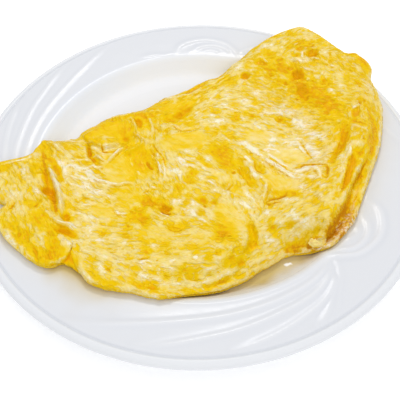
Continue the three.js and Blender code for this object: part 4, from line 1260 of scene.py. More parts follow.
class Skin:
    """What the top carries at each plan point: height, sideways shift, colour tone and wetness."""

    def __init__(self, x, y):
        self.x, self.y = x, y
        n = len(x)
        self.h = np.zeros(n)
        self.sx = np.zeros(n)
        self.sy = np.zeros(n)
        self.tone = np.zeros(n)
        self.brown = np.zeros(n)
        self.film = np.zeros(n)
        self.mark = np.zeros(n)
        # nearest thin line, dark for painted shade in creases and pale for painted glints on lit ridges: distance in
        # half widths, and strength
        self.dark = np.stack([np.full(n, 2.5), np.zeros(n)])
        self.light = np.stack([np.full(n, 2.5), np.zeros(n)])
        # all feature points are brought onto the surface together
        every = [f[0] for group in (STROKES, MOUNDS, STEPS, FILMS, WASHES, BROWNED) for f in group]
        every += [[(q[0], q[1]), (q[0] + 0.4, q[1])] for q in PITS]
        every.append([(u, v) for u, v, _ in FLOW])
        flat = plan([pt for pts in every for pt in pts])
        self.lines, k = {}, 0
        for pts in every:
            self.lines[tuple(map(tuple, pts))] = flat[k:k + len(pts)]
            k += len(pts)

    def line(self, pts, reach, n=5):
        return near(self.x, self.y, spline(self.lines[tuple(map(tuple, pts))], n), reach)

    def thin(self, store, i, q, amount):
        """Keep the nearest of the thin lines at each point."""
        x, y = self.x[i], self.y[i]
        q = np.clip(q * (1.12 + 0.55 * noise2(x / 1.9, y / 1.9, 27)), 0, 2.5)
        amount = amount * (0.30 + 0.70 * smooth(-0.30, 0.10, noise2(x / 2.8, y / 2.8, 28)))
        m = q < store[0, i]
        j = i[m]
        store[0, j] = q[m]
        store[1, j] = (amount * np.ones(len(i)))[m]

    def features(self):
        x, y = self.x, self.y
        for pts, w, tone in WASHES:
            i, d, t, s, nn = self.line(pts, w * 2.2)
            uneven = 0.95 + 0.55 * noise2(x[i] / 3.6, y[i] / 2.4, 29) + 0.30 * noise2(x[i] / 1.5, y[i] / 1.2, 30)
            self.tone[i] += 1.3 * tone * uneven * np.exp(-(d * (1 + 0.45 * noise2(x[i] / 6, y[i] / 5, 23)) / w) ** 2)
        for pts, w, amount in BROWNED:
            i, d, t, s, nn = self.line(pts, w * 2.2)
            fleck = 1 + 0.6 * noise2(x[i] / 3.0, y[i] / 2.2, 26)
            self.brown[i] = np.maximum(self.brown[i], amount * fleck * np.exp(-(d / w) ** 2))
        for pts, height, w in MOUNDS:
            i, d, t, s, nn = self.line(pts, w * 2.6)
            self.h[i] += height * np.exp(-(d / w) ** 2)
        for st in STROKES:
            pts, height, w, tone = st[:4]
            brown = st[4] if len(st) > 4 else 0.0
            # no crease keeps one width
            wt = w * (1.15 if tone > 0 else 1.10)
            i, d, t, s, nn = self.line(pts, wt * 4)
            wob = 1 + 0.20 * noise2(x[i] / 2.4, y[i] / 2.4, 21) + 0.10 * noise2(x[i] / 1.1, y[i] / 1.1, 22)
            d = d * wob
            tap = (smooth(0, 0.22, t) * (1 - smooth(0.78, 1, t))) * 0.75 + 0.25
            if height >= 0:
                prof = np.exp(-(d / w) ** 2)
            else:
                prof = 0.45 * np.exp(-d / (w * 0.7)) + 0.55 * np.exp(-(d / w) ** 2)
            self.h[i] += (1.3 + 0.4 * smooth(0.5, 0.9, abs(height))) * height * tap * prof
            broken = 1.15 + 0.25 * noise2(x[i] / 1.5, y[i] / 1.5, 24)
            if tone > 0.45:
                # lit ridges are broken into short strands
                broken = 0.95 + 0.80 * noise2(x[i] / 1.25, y[i] / 0.8, 33) + 0.25 * noise2(x[i] / 3.5, y[i] / 2.0, 34)
            if w >= 1.8:
                broken = broken - 0.20 + 0.60 * noise2(x[i] / 3.0, y[i] / 1.7, 31)
                d = d * (1 + 0.35 * noise2(x[i] / 4.2, y[i] / 3.2, 32))
            cover = tap * np.exp(-(d / wt) ** 3.0)
            # painted shading: the sides of a ridge are deeper, as painted shade, the edges of a crease paler, as
            # painted highlight
            flank_shading = tap * np.exp(-((d - 2.1 * wt) / (0.75 * wt)) ** 2) * min(1.0, 1.6 / w)
            if w < 1.35:
                # a thin line keeps its sharp edge: it is drawn from its distance
                share = 0.40
                half = 0.38 + 0.40 * (w - 0.5)
                amount = min(1.4, abs(tone)) * tap * (0.85 + 0.3 * broken)
                self.thin(self.dark if tone < 0 else self.light, i, d / half, amount)
                # a lit pale line also gets a thin painted shade line on its side towards the front
                if tone > 0.3:
                    below = np.where(nn[:, 1] * s < 0, np.abs(d - 2.1 * half) / (0.62 * half), 2.5)
                    self.thin(self.dark, i, below, 0.55 * amount)
            else:
                share = 1.0
            self.tone[i] += share * (tone * broken * cover - 0.34 * tone * flank_shading)
            self.mark[i] = np.maximum(self.mark[i], cover * min(1.0, 1.3 * abs(tone)) * (1.0 if w < 1.8 else 0.35))
            if brown:
                self.brown[i] += brown * tap * np.exp(-(d / (w * 1.05)) ** 2.4)
        for u, v, r, depth, tone in PITS:
            i, d, t, s, nn = self.line([(u, v), (u + 0.4, v)], r * 3)
            self.h[i] -= depth * np.exp(-(d / r) ** 2.6) - 0.22 * depth * np.exp(-((d - 1.45 * r) / (0.5 * r)) ** 2)
            # deeper orange in the pit as painted shade, a paler ring on its rim as painted highlight
            self.tone[i] += tone * np.exp(-(d / (r * 1.05)) ** 2.4) + 0.3 * np.exp(-((d - 1.5 * r) / (0.45 * r)) ** 2)
        for pts, height, drop, reach, over in STEPS:
            i, d, t, s, nn = self.line(pts, max(reach, 3 * drop) * 1.2)
            tap = smooth(0, 0.16, t) * (1 - smooth(0.84, 1, t))
            sd = d * s
            rise = np.where(sd >= 0, np.exp(-(d / reach) ** 1.6) * (0.72 + 0.28 * arcrise(d / (1.2 * drop))), 0.72 * np.clip(1 - d / drop, 0, 1) ** 2)
            self.h[i] += height * tap * rise
            foot = np.where(sd < 0, np.exp(-((d - drop) / (1.3 * drop)) ** 2), 0)
            self.h[i] -= 0.22 * height * tap * foot
            shift = over * tap * np.where(sd >= 0, np.exp(-(d / (2.2 * drop + over)) ** 2), np.exp(-(d / (0.6 * drop + 0.3)) ** 2))
            self.sx[i] -= nn[:, 0] * shift
            self.sy[i] -= nn[:, 1] * shift

    def run(self):
        """Weights of six crinkle directions, 30 degrees apart."""
        P = self.lines[tuple((u, v) for u, v, _ in FLOW)]
        two = np.radians([2 * d for _, _, d in FLOW])
        C = np.zeros(len(self.x))
        S = np.zeros(len(self.x))
        for (px, py), q in zip(P, two):
            d2 = (self.x - px) ** 2 + (self.y - py) ** 2
            w = np.exp(-d2 / 160.0) + 1e-4 / (1 + d2)
            C += w * math.cos(q)
            S += w * math.sin(q)
        q = np.arctan2(S, C)
        w = np.stack([np.clip(np.cos(q - math.radians(60 * k)), 0, 1) ** 5 for k in range(6)])
        return w / w.sum(0)

    def crinkle(self, weights, along, across, seed, field=ridged2):
        """Ridges or dabs that follow the run of the surface."""
        out = np.zeros(len(self.x))
        for k in range(6):
            th = math.radians(30 * k)
            a = (self.wx * math.cos(th) + self.wy * math.sin(th)) / along
            b = (-self.wx * math.sin(th) + self.wy * math.cos(th)) / across
            out += weights[k] * field(a, b, seed + 7 * k)
        return out

    def texture(self, dist):
        x, y = self.x, self.y
        wet = np.clip(self.film, 0, 1)
        rough = (1 - 0.92 * wet) * smooth(0.0, 2.5, dist)
        self.wx = x + 1.6 * noise2(x / 22, y / 22, 40) + 0.7 * noise2(x / 7, y / 7, 41) + 0.25 * noise2(x / 2.5, y / 2.5, 45)
        self.wy = y + 1.6 * noise2(x / 22, y / 22, 42) + 0.7 * noise2(x / 7, y / 7, 43) + 0.25 * noise2(x / 2.5, y / 2.5, 46)
        wx, wy = self.wx, self.wy
        w = self.weights = self.run()
        lumps = 0.6 * fbm2(wx / 12, wy / 9, 50, 2) + 0.5 * noise2(wx / 5.4, wy / 3.8, 52)
        c1 = self.crinkle(w, 7.0, 3.2, 60, lambda p, q, k: ridged2(p, q, k, 1))
        d1 = self.crinkle(w, 5.2, 2.1, 161, noise2)
        d2 = self.crinkle(w, 2.9, 1.25, 262, noise2)
        patch = smooth(-0.45, 0.35, noise2(x / 15, y / 11, 64))
        det = rough * (0.55 * lumps + 0.40 * (c1 - 0.35) * (0.45 + 0.55 * patch) + 0.30 * d1 + 0.17 * d2)
        # scattered small pits
        rng = np.random.default_rng(11)
        pit = np.zeros(len(x))
        cand = rng.uniform([-110, -92], [108, 100], (700, 2))
        keep = []
        for p in cand:
            if all((p[0] - q[0]) ** 2 + (p[1] - q[1]) ** 2 > 24 for q in keep):
                keep.append(p)
        for k, p in enumerate(keep):
            r = rng.uniform(0.7, 1.7)
            dep = rng.uniform(0.25, 0.8)
            ex = rng.uniform(1.0, 2.0)
            d2 = ((x - p[0]) / ex) ** 2 + (y - p[1]) ** 2
            m = d2 < 9 * r * r
            pit[m] += dep * np.exp(-(d2[m] / (r * r)) ** 1.2)
        self.h += det - rough * pit * 0.6
        band = 0.45 + 0.55 * patch
        amp = 0.66 + 0.34 * smooth(-62, -10, y) * smooth(-100, -70, x)
        tn = 0.42 * noise2(wx / 6.5, wy / 4.6, 70) + 0.16 * noise2(wx / 2.0, wy / 1.5, 71)
        # the tone follows the relief: raised lumps and dabs paler, pits deeper orange, as painted light and shade over
        # the random mottling
        tone = (0.55 * band * (smooth(0.04, 0.42, d1) - 0.42) + 0.40 * (smooth(0.0, 0.42, d2) - 0.45)
                + 0.25 * (smooth(0.4, 0.95, c1) - 0.2) + 0.40 * lumps - 0.70 * pit + tn + 0.05)
        calm = (1 - 0.66 * wet) * smooth(0.0, 2.5, dist) * (1 - 0.50 * self.mark)
        a = np.arctan2(y - CENTRE[1], x - CENTRE[0]) - TILT
        deg = np.degrees(wrap(a))
        back = smooth(8, 25, deg) * (1 - smooth(150, 170, deg))
        # painted shade: the back fold is deeper orange where it turns away; along the open edges a paler painted
        # highlight on the lip and a deeper painted shade band just inside it
        self.tone -= 0.75 * back * np.exp(-(dist / 2.6) ** 2)
        self.tone += (1 - back) * (0.55 * np.exp(-((dist - 0.9) / 0.9) ** 2) - 0.30 * np.exp(-((dist - 3.2) / 1.0) ** 2)) * (0.6 + 0.5 * noise2(x / 6, y / 6, 74))
        self.tone += calm * amp * tone - 0.08 + wet * (0.15 * noise2(x / 9, y / 7, 72) - 0.14)

    def films(self):
        for pts, w, amount in FILMS:
            i, d, t, s, nn = self.line(pts, w * 1.7)
            self.film[i] = np.maximum(self.film[i], amount * (1 - smooth(0.7, 1.45, d / w)))

    def cuts(self, dist):
        """Overhang and shade along the leaf edges."""
        for k, (pts, close, thick, drop, lipw, liph, over) in enumerate(CUTS):
            i, d, lower, ends, low, nn, t = cut_fields(k, self.x, self.y, dist)
            # calm the lower leaf
            self.h[i] *= np.where(lower & (d > 0.5 * drop), 1 - 0.6 * ends, 1.0)
            shift = over * ends * np.where(~lower, np.exp(-(d / (2.0 * drop + over)) ** 2), np.exp(-(d / (0.6 * drop + 0.3)) ** 2))
            self.sx[i] -= nn[:, 0] * shift
            self.sy[i] -= nn[:, 1] * shift
            # painted shade on the lower leaf beside the edge of the upper one, and a paler painted highlight along the
            # upper leaf's lip
            self.tone[i] += np.where(lower, -(0.35 if k else 0.8) * np.exp(-((d - 0.6 * drop) / (1.5 * drop)) ** 2) * ends, 0.30 * ends * np.exp(-((d - 1.2) / 0.9) ** 2))
            if k:
                # the wet lower leaf at the front is browned right through
                spot = smooth(0.07, 0.13, t) * (1 - smooth(0.40, 0.52, t))
                # streaks run down the slope, away from the upper leaf; the lower leaf is also painted paler there, as
                # painted light lifting the shade of the recess
                u = t * 90 + 1.6 * noise2(self.x[i] / 3, self.y[i] / 3, 97)
                streak = noise2(u / 1.5, d / 6.0, 95) + 0.6 * noise2(u / 0.8, d / 3.0, 96)
                self.brown[i] += np.where(lower, spot * (1 + 0.9 * streak) * (0.17 * (1 - smooth(7, 16, d)) + 0.12 * np.exp(-(d / 2.6) ** 2)), 0)
                self.tone[i] += np.where(lower, spot * (0.30 + 1.5 * streak) * smooth(0.4, 2.0, d), 0)


def medial(a):
    """Inner end of the ray that reaches the outline in direction a."""
    u = 60.0 * np.cos(a)
    v = -6.0 + 0 * a
    return CENTRE[0] + u * AX[0] + v * AY[0], CENTRE[1] + u * AX[1] + v * AY[1]


def ring_points(t):
    n = len(OUT)
    s = (np.asarray(t) % 1.0) * n
    i = np.floor(s).astype(int) % n
    f = (s - np.floor(s))[:, None]
    P = OUT[i] * (1 - f) + OUT[(i + 1) % n] * f
    a0 = OUT_A[i]
    a1 = OUT_A[(i + 1) % n]
    a = a0 + wrap(a1 - a0) * f[:, 0]
    return P, a


def build_omelette():
    step = 0.56
    fr = [0.0, 0.0030, 0.0066, 0.0110, 0.0165, 0.0235, 0.0320, 0.0415]
    while fr[-1] < 0.985:
        fr.append(fr[-1] + 0.0104)
    fr = [f for f in fr if f < 0.992]
    rings, X, Y, A, F = [], [], [], [], []
    count = 0
    for f in fr:
        n = int(round(((1 - f) * PERIM + f * 240) / step))
        t = np.arange(n) / n
        P, a = ring_points(t)
        mx, my = medial(a)
        x = P[:, 0] * (1 - f) + mx * f
        y = P[:, 1] * (1 - f) + my * f
        X.append(x)
        Y.append(y)
        A.append(a)
        rings.append((t, np.arange(count, count + n)))
        count += n
    # last ring: the spine of the shape, each point shared by both sides
    k = 150
    ang = np.linspace(-np.pi, np.pi, 4000)
    tt = np.interp(ang, OUT_A, np.arange(len(OUT_A)) / len(OUT_A))
    spine_u = np.linspace(-1, 1, k)
    lower = -np.arccos(spine_u)             # from -pi to 0
    upper = np.arccos(spine_u[::-1])        # from 0 to pi
    mx, my = medial(lower)
    X.append(mx)
    Y.append(my)
    A.append(lower)
    ids = np.arange(count, count + k)
    t_low = np.interp(lower, ang, tt)
    t_up = np.interp(upper, ang, tt)
    t_last = np.r_[t_low, t_up[1:-1]]
    i_last = np.r_[ids, ids[::-1][1:-1]]
    o = np.argsort(t_last, kind="stable")
    rings.append((t_last[o], i_last[o]))
    count += k
    X, Y, A = np.concatenate(X), np.concatenate(Y), np.concatenate(A)
    D = edge_distance(X, Y)
    Z = top_height(X, Y, D)
    skin = Skin(X, Y)
    skin.films()
    skin.features()
    skin.texture(D)
    skin.cuts(D)
    fade = smooth(0.0, 3.0, D) * 0.85 + 0.15
    top = np.stack([X + skin.sx * fade, Y + skin.sy * fade, Z + skin.h * fade], 1)
    low = underside(top[:, 0], top[:, 1]) + 1.2
    top[:, 2] = np.maximum(top[:, 2], low)
    cols = np.stack([np.clip(-skin.tone, 0, 1.8), np.clip(skin.tone, 0, 1.8), skin.brown, np.maximum(skin.film, 0.65 * skin.mark)], 1)
    # edge and underside
    verts = [top]
    colv = [cols]
    edge = [  # fraction of the edge height, inset, extra inset where the leaves are open
        (0.90, 0.06, 0.0), (0.80, 0.22, 0.1), (0.70, 0.50, 0.6), (0.62, 0.62, 1.5), (0.56, 0.62, 1.7), (0.48, 0.50, 0.8),
        (0.36, 0.32, 0.3), (0.24, 0.34, 0.1), (0.13, 0.5, 0.0), (0.05, 0.9, 0.0)]
    und = [(0.0, 2.4), (0.0, 5.2), (0.0, 9.5), (0.0, 14.0), (0.0, 20.0), (0.0, 27.0)]
    edge_rings = []
    n = len(rings[0][0])
    t = rings[0][0]
    P, a = ring_points(t)
    mx, my = medial(a)
    dirx, diry = mx - P[:, 0], my - P[:, 1]
    L = np.hypot(dirx, diry)
    dirx, diry = dirx / L, diry / L
    deg = np.degrees(wrap(a))
    op = smooth(2, -14, deg) * smooth(-178, -150, deg)
    op = np.where(deg > 2, 0, op) * (0.35 + 0.65 * smooth(-88, -62, deg))
    h = edge_param(a, 1)
    wob = noise2(P[:, 0] / 4.0, P[:, 1] / 4.0, 77)
    for fq, ins, extra in edge:
        q = ins + extra * op * (1 + 0.35 * wob)
        x, y = P[:, 0] + dirx * q, P[:, 1] + diry * q
        z = underside(x, y) - sink(x, y) + fq * (h + sink(x, y))
        verts.append(np.stack([x, y, z], 1))
        # deeper orange where the open leaves part, painted shade in the gap between them
        slit_shade = np.exp(-((fq - 0.6) / 0.12) ** 2) * op
        col = np.zeros((n, 4))
        col[:, 0] = 0.30 + 0.6 * slit_shade + 0.2 * noise2(P[:, 0] / 6, P[:, 1] / 6, 80 + int(fq * 50))
        col[:, 1] = 0.10 * (1 - slit_shade) * smooth(0.3, 0.9, fq)
        colv.append(col)
        edge_rings.append((t, np.arange(count, count + n)))
        count += n
    for nth, (_, ins) in enumerate(und):
        m = max(120, int(n * (1 - ins / 40) * 0.35))
        tm = np.arange(m) / m
        P2, a2 = ring_points(tm)
        mx, my = medial(a2)
        L = np.hypot(mx - P2[:, 0], my - P2[:, 1])
        f = np.minimum(ins / L, 0.93)
        x = P2[:, 0] * (1 - f) + mx * f
        y = P2[:, 1] * (1 - f) + my * f
        verts.append(np.stack([x, y, underside(x, y) - sink(x, y) * (1.0, 0.6, 0.2, 0.0, 0.0, 0.0)[nth]], 1))
        colv.append(np.tile([0.5, 0.0, 0.0, 0.0], (m, 1)))
        edge_rings.append((tm, np.arange(count, count + m)))
        count += m
    # underside spine
    k = 40
    spine_u = np.linspace(-1, 1, k)
    lower = -np.arccos(spine_u)
    upper = np.arccos(spine_u[::-1])
    mx, my = medial(lower)
    verts.append(np.stack([mx, my, underside(mx, my)], 1))
    colv.append(np.tile([0.5, 0.0, 0.0, 0.0], (k, 1)))
    ids = np.arange(count, count + k)
    t_last = np.r_[np.interp(lower, ang, tt), np.interp(upper, ang, tt)[1:-1]]
    i_last = np.r_[ids, ids[::-1][1:-1]]
    o = np.argsort(t_last, kind="stable")
    edge_rings.append((t_last[o], i_last[o]))
    count += k
    tris = []
    for (ta, ia), (tb, ib) in zip(rings[:-1], rings[1:]):
        tris += zip_rings(ta, ia, tb, ib)
    chain = [rings[0]] + edge_rings
    for (ta, ia), (tb, ib) in zip(chain[:-1], chain[1:]):
        tris += [(p, r, q) for p, q, r in zip_rings(ta, ia, tb, ib)]
    V = np.vstack(verts)
    C = np.vstack(colv)
    ob = new_object("omelette_body", V, tris)
    set_colour(ob, "tone", np.clip(C, 0, 1.8))
    W = np.tile([[1.0 / 6] * 6], (len(V), 1))
    W[:len(X)] = skin.weights.T
    L = np.tile([[1.0, 0.0, 1.0, 0.0]], (len(V), 1))
    L[:len(X)] = np.stack([skin.dark[0] / 2.5, skin.dark[1], skin.light[0] / 2.5, skin.light[1]], 1)
    set_colour(ob, "lines", L)
    one = np.ones((len(V), 1))
    set_colour(ob, "run_a", np.hstack([W[:, :3], one]))
    set_colour(ob, "run_b", np.hstack([W[:, 3:], one]))
    print("omelette verts", len(ob.data.vertices), "tris", len(ob.data.polygons), "lowest gap", float((V[:, 2] - underside(V[:, 0], V[:, 1])).min()))
    return ob


def build_nub():
    """Small rolled end of the leaf at the right front, pressed against the edge."""
    c = plan([(311.5, 244.5), (317.0, 243.6), (322.5, 242.4)])
    mid, along = c[1], c[2] - c[0]
    along = along / np.hypot(*along)
    side = np.array([-along[1], along[0]])
    z0 = float(top_height(mid[:1] * 1.0, mid[1:] * 1.0)[0])
    nu, nv = 72, 36
    verts, rings, count = [], [], 0
    for j in range(1, nv):
        ph = math.pi * j / nv
        t = np.arange(nu) / nu
        a = 2 * np.pi * t
        d = np.stack([np.sin(ph) * np.cos(a), np.sin(ph) * np.sin(a), np.full(nu, math.cos(ph))], 1)
        lump = 1 + 0.16 * noise2(d[:, 0] * 2.2 + 3 * d[:, 2], d[:, 1] * 2.2 + 5, 120) + 0.07 * noise2(d[:, 0] * 5 + 2 * d[:, 2], d[:, 1] * 5 - 4 * d[:, 2], 121)
        q = d * np.array([4.4, 2.9, 2.5]) * lump[:, None]
        verts.append(np.stack([mid[0] + q[:, 0] * along[0] + q[:, 1] * side[0], mid[1] + q[:, 0] * along[1] + q[:, 1] * side[1], z0 + 1.1 + q[:, 2]], 1))
        rings.append((t, np.arange(count, count + nu)))
        count += nu
    tris = []
    for (ta, ia), (tb, ib) in zip(rings[:-1], rings[1:]):
        tris += zip_rings(ta, ia, tb, ib)
    V = np.vstack(verts)
    for ring, z in ((rings[0][1], V[:nu, 2].max() + 0.05), (rings[-1][1], V[-nu:, 2].min() - 0.05)):
        V = np.vstack([V, [[V[ring, 0].mean(), V[ring, 1].mean(), z]]])
        tris += [(ring[k], len(V) - 1, ring[(k + 1) % nu]) for k in range(nu)]
    ob = new_object("omelette_nub", V, tris)
    low = smooth(z0 + 1.6, z0 + 0.2, V[:, 2])
    tone = 0.55 + 0.35 * noise2(V[:, 0] / 1.6, V[:, 1] / 1.6, 122) - 1.5 * low
    C = np.stack([np.clip(-tone, 0, 1.8), np.clip(tone, 0, 1.8), 0.35 * low, 0 * tone + 0.7], 1)
    set_colour(ob, "tone", C)
    one = np.ones((len(V), 4))
    set_colour(ob, "run_a", one * [1 / 6, 1 / 6, 1 / 6, 1])
    set_colour(ob, "run_b", one * [1 / 6, 1 / 6, 1 / 6, 1])
    set_colour(ob, "lines", one * [1, 0, 1, 0])
    return ob


# =====================================================================
#  Materials
# =====================================================================
def material(name):
    m = bpy.data.materials.new(name)
    m.use_nodes = True
    nt = m.node_tree
    nt.nodes.clear()
    out = nt.nodes.new("ShaderNodeOutputMaterial")
    bsdf = nt.nodes.new("ShaderNodeBsdfPrincipled")
    nt.links.new(bsdf.outputs[0], out.inputs[0])
    return m, nt, bsdf


def node(nt, kind, **kw):
    n = nt.nodes.new(kind)
    for k, v in kw.items():
        setattr(n, k, v)
    return n


def noise_node(nt, coord, scale, detail=2.0, rough=0.5, stretch=None):
    if stretch is not None:
        mp = node(nt, "ShaderNodeMapping")
        mp.inputs["Scale"].default_value = stretch
        nt.links.new(coord, mp.inputs["Vector"])
        coord = mp.outputs[0]
    n = node(nt, "ShaderNodeTexNoise")
    n.inputs["Scale"].default_value = scale
    n.inputs["Detail"].default_value = detail
    n.inputs["Roughness"].default_value = rough
    nt.links.new(coord, n.inputs["Vector"])
    return n.outputs["Fac"]


def ramp(nt, fac, lo, hi, a=0.0, b=1.0):
    r = node(nt, "ShaderNodeMapRange")
    r.interpolation_type = "SMOOTHSTEP"
    r.inputs["From Min"].default_value = lo
    r.inputs["From Max"].default_value = hi
    r.inputs["To Min"].default_value = a
    r.inputs["To Max"].default_value = b
    nt.links.new(fac, r.inputs["Value"])
    return r.outputs[0]


def mixc(nt, fac, a, b):
    m = node(nt, "ShaderNodeMix")
    m.data_type = "RGBA"
    for sock, val in ((m.inputs[6], a), (m.inputs[7], b)):
        if isinstance(val, tuple):
            sock.default_value = (*val, 1.0)
        else:
            nt.links.new(val, sock)
    if isinstance(fac, float):
        m.inputs[0].default_value = fac
    else:
        nt.links.new(fac, m.inputs[0])
    return m.outputs[2]


def maths(nt, op, a, b=None, clamp=False):
    m = node(nt, "ShaderNodeMath")
    m.operation = op
    m.use_clamp = clamp
    for k, v in enumerate((a, b)):
        if v is None:
            continue
        if isinstance(v, (int, float)):
            m.inputs[k].default_value = v
        else:
            nt.links.new(v, m.inputs[k])
    return m.outputs[0]


def porcelain_material():
    m, nt, b = material("glazed_porcelain")
    tc = node(nt, "ShaderNodeTexCoord").outputs["Object"]
    cloud = noise_node(nt, tc, 14.0, 2.0)
    col = mixc(nt, ramp(nt, cloud, 0.3, 0.7), (0.815, 0.825, 0.855), (0.835, 0.840, 0.865))
    # the rim is greyer than the well. Painted light and shade: the far wall lighter and the near wall greyer, the left
    # wall bluer as a painted reflection, a painted shade line in the groove at the foot of the raised lip, the outer
    # band lighter where it turns away from the lamps, and a dark painted shade line under the curled outer edge
    xyz = node(nt, "ShaderNodeSeparateXYZ")
    nt.links.new(tc, xyz.inputs[0])
    r2 = maths(nt, "ADD", maths(nt, "POWER", xyz.outputs[0], 2.0), maths(nt, "POWER", xyz.outputs[1], 2.0))
    rad = maths(nt, "POWER", r2, 0.5)
    wall = mixc(nt, ramp(nt, xyz.outputs[1], -0.045, 0.045), (0.790, 0.805, 0.840), (0.905, 0.925, 0.965))
    wall = mixc(nt, ramp(nt, xyz.outputs[0], -0.030, -0.075), wall, (0.860, 0.905, 0.990))
    col = mixc(nt, ramp(nt, rad, 0.0815, 0.0855), col, wall)
    col = mixc(nt, ramp(nt, rad, 0.088, 0.097), col, (0.755, 0.770, 0.808))
    col = mixc(nt, ramp(nt, rad, 0.1194, 0.1203), col, (0.690, 0.710, 0.750))
    col = mixc(nt, ramp(nt, rad, 0.1204, 0.1214), col, (0.800, 0.815, 0.845))
    # dark painted shade line under the curled outer edge
    rolled = maths(nt, "MULTIPLY", ramp(nt, xyz.outputs[2], 0.0152, 0.0139), ramp(nt, rad, 0.1215, 0.1235))
    col = mixc(nt, rolled, col, (0.470, 0.490, 0.500))
    at = node(nt, "ShaderNodeAttribute")
    at.attribute_name = "oil_film_and_painted_light"
    sep = node(nt, "ShaderNodeSeparateColor")
    nt.links.new(at.outputs["Color"], sep.inputs[0])
    # painted shade in the flutes of the embossing and painted highlight along its crests
    col = mixc(nt, maths(nt, "MULTIPLY", at.outputs["Alpha"], 0.38), col, (0.680, 0.700, 0.750))
    col = mixc(nt, maths(nt, "MULTIPLY", sep.outputs[2], 0.18), col, (0.930, 0.935, 0.950))
    # oily film with painted warm shade beside the omelette
    col = mixc(nt, sep.outputs[0], col, (0.610, 0.475, 0.185))
    # painted glint spots
    col = mixc(nt, sep.outputs[1], col, (0.960, 0.960, 0.950))
    nt.links.new(col, b.inputs["Base Color"])
    fine = noise_node(nt, tc, 160.0, 2.0)
    foot = maths(nt, "MULTIPLY", ramp(nt, rad, 0.073, 0.079), ramp(nt, rad, 0.091, 0.085))
    nt.links.new(maths(nt, "ADD", ramp(nt, fine, 0.3, 0.7, 0.16, 0.21), maths(nt, "MULTIPLY", foot, 0.34)), b.inputs["Roughness"])
    b.inputs["IOR"].default_value = 1.42
    b.inputs["Specular IOR Level"].default_value = 0.12
    bump = node(nt, "ShaderNodeBump")
    bump.inputs["Strength"].default_value = 0.04
    bump.inputs["Distance"].default_value = 0.0006
    nt.links.new(noise_node(nt, tc, 60.0, 1.0), bump.inputs["Height"])
    nt.links.new(bump.outputs[0], b.inputs["Normal"])
    return m


# tone colours: the paler end partly stands for painted sheen and glints, the orange and amber end partly for painted
# shade in creases and hollows; OCHRE also paints shade bands beside the flakes
YELLOW = (0.884, 0.632, 0.052)
ORANGE = (0.880, 0.578, 0.0012)
AMBER = (0.820, 0.400, 0.001)
PALE = (0.900, 0.718, 0.252)
CREAM_AND_GLINT = (0.955, 0.868, 0.640)
BROWN = (0.640, 0.275, 0.006)
OCHRE = (0.780, 0.430, 0.012)


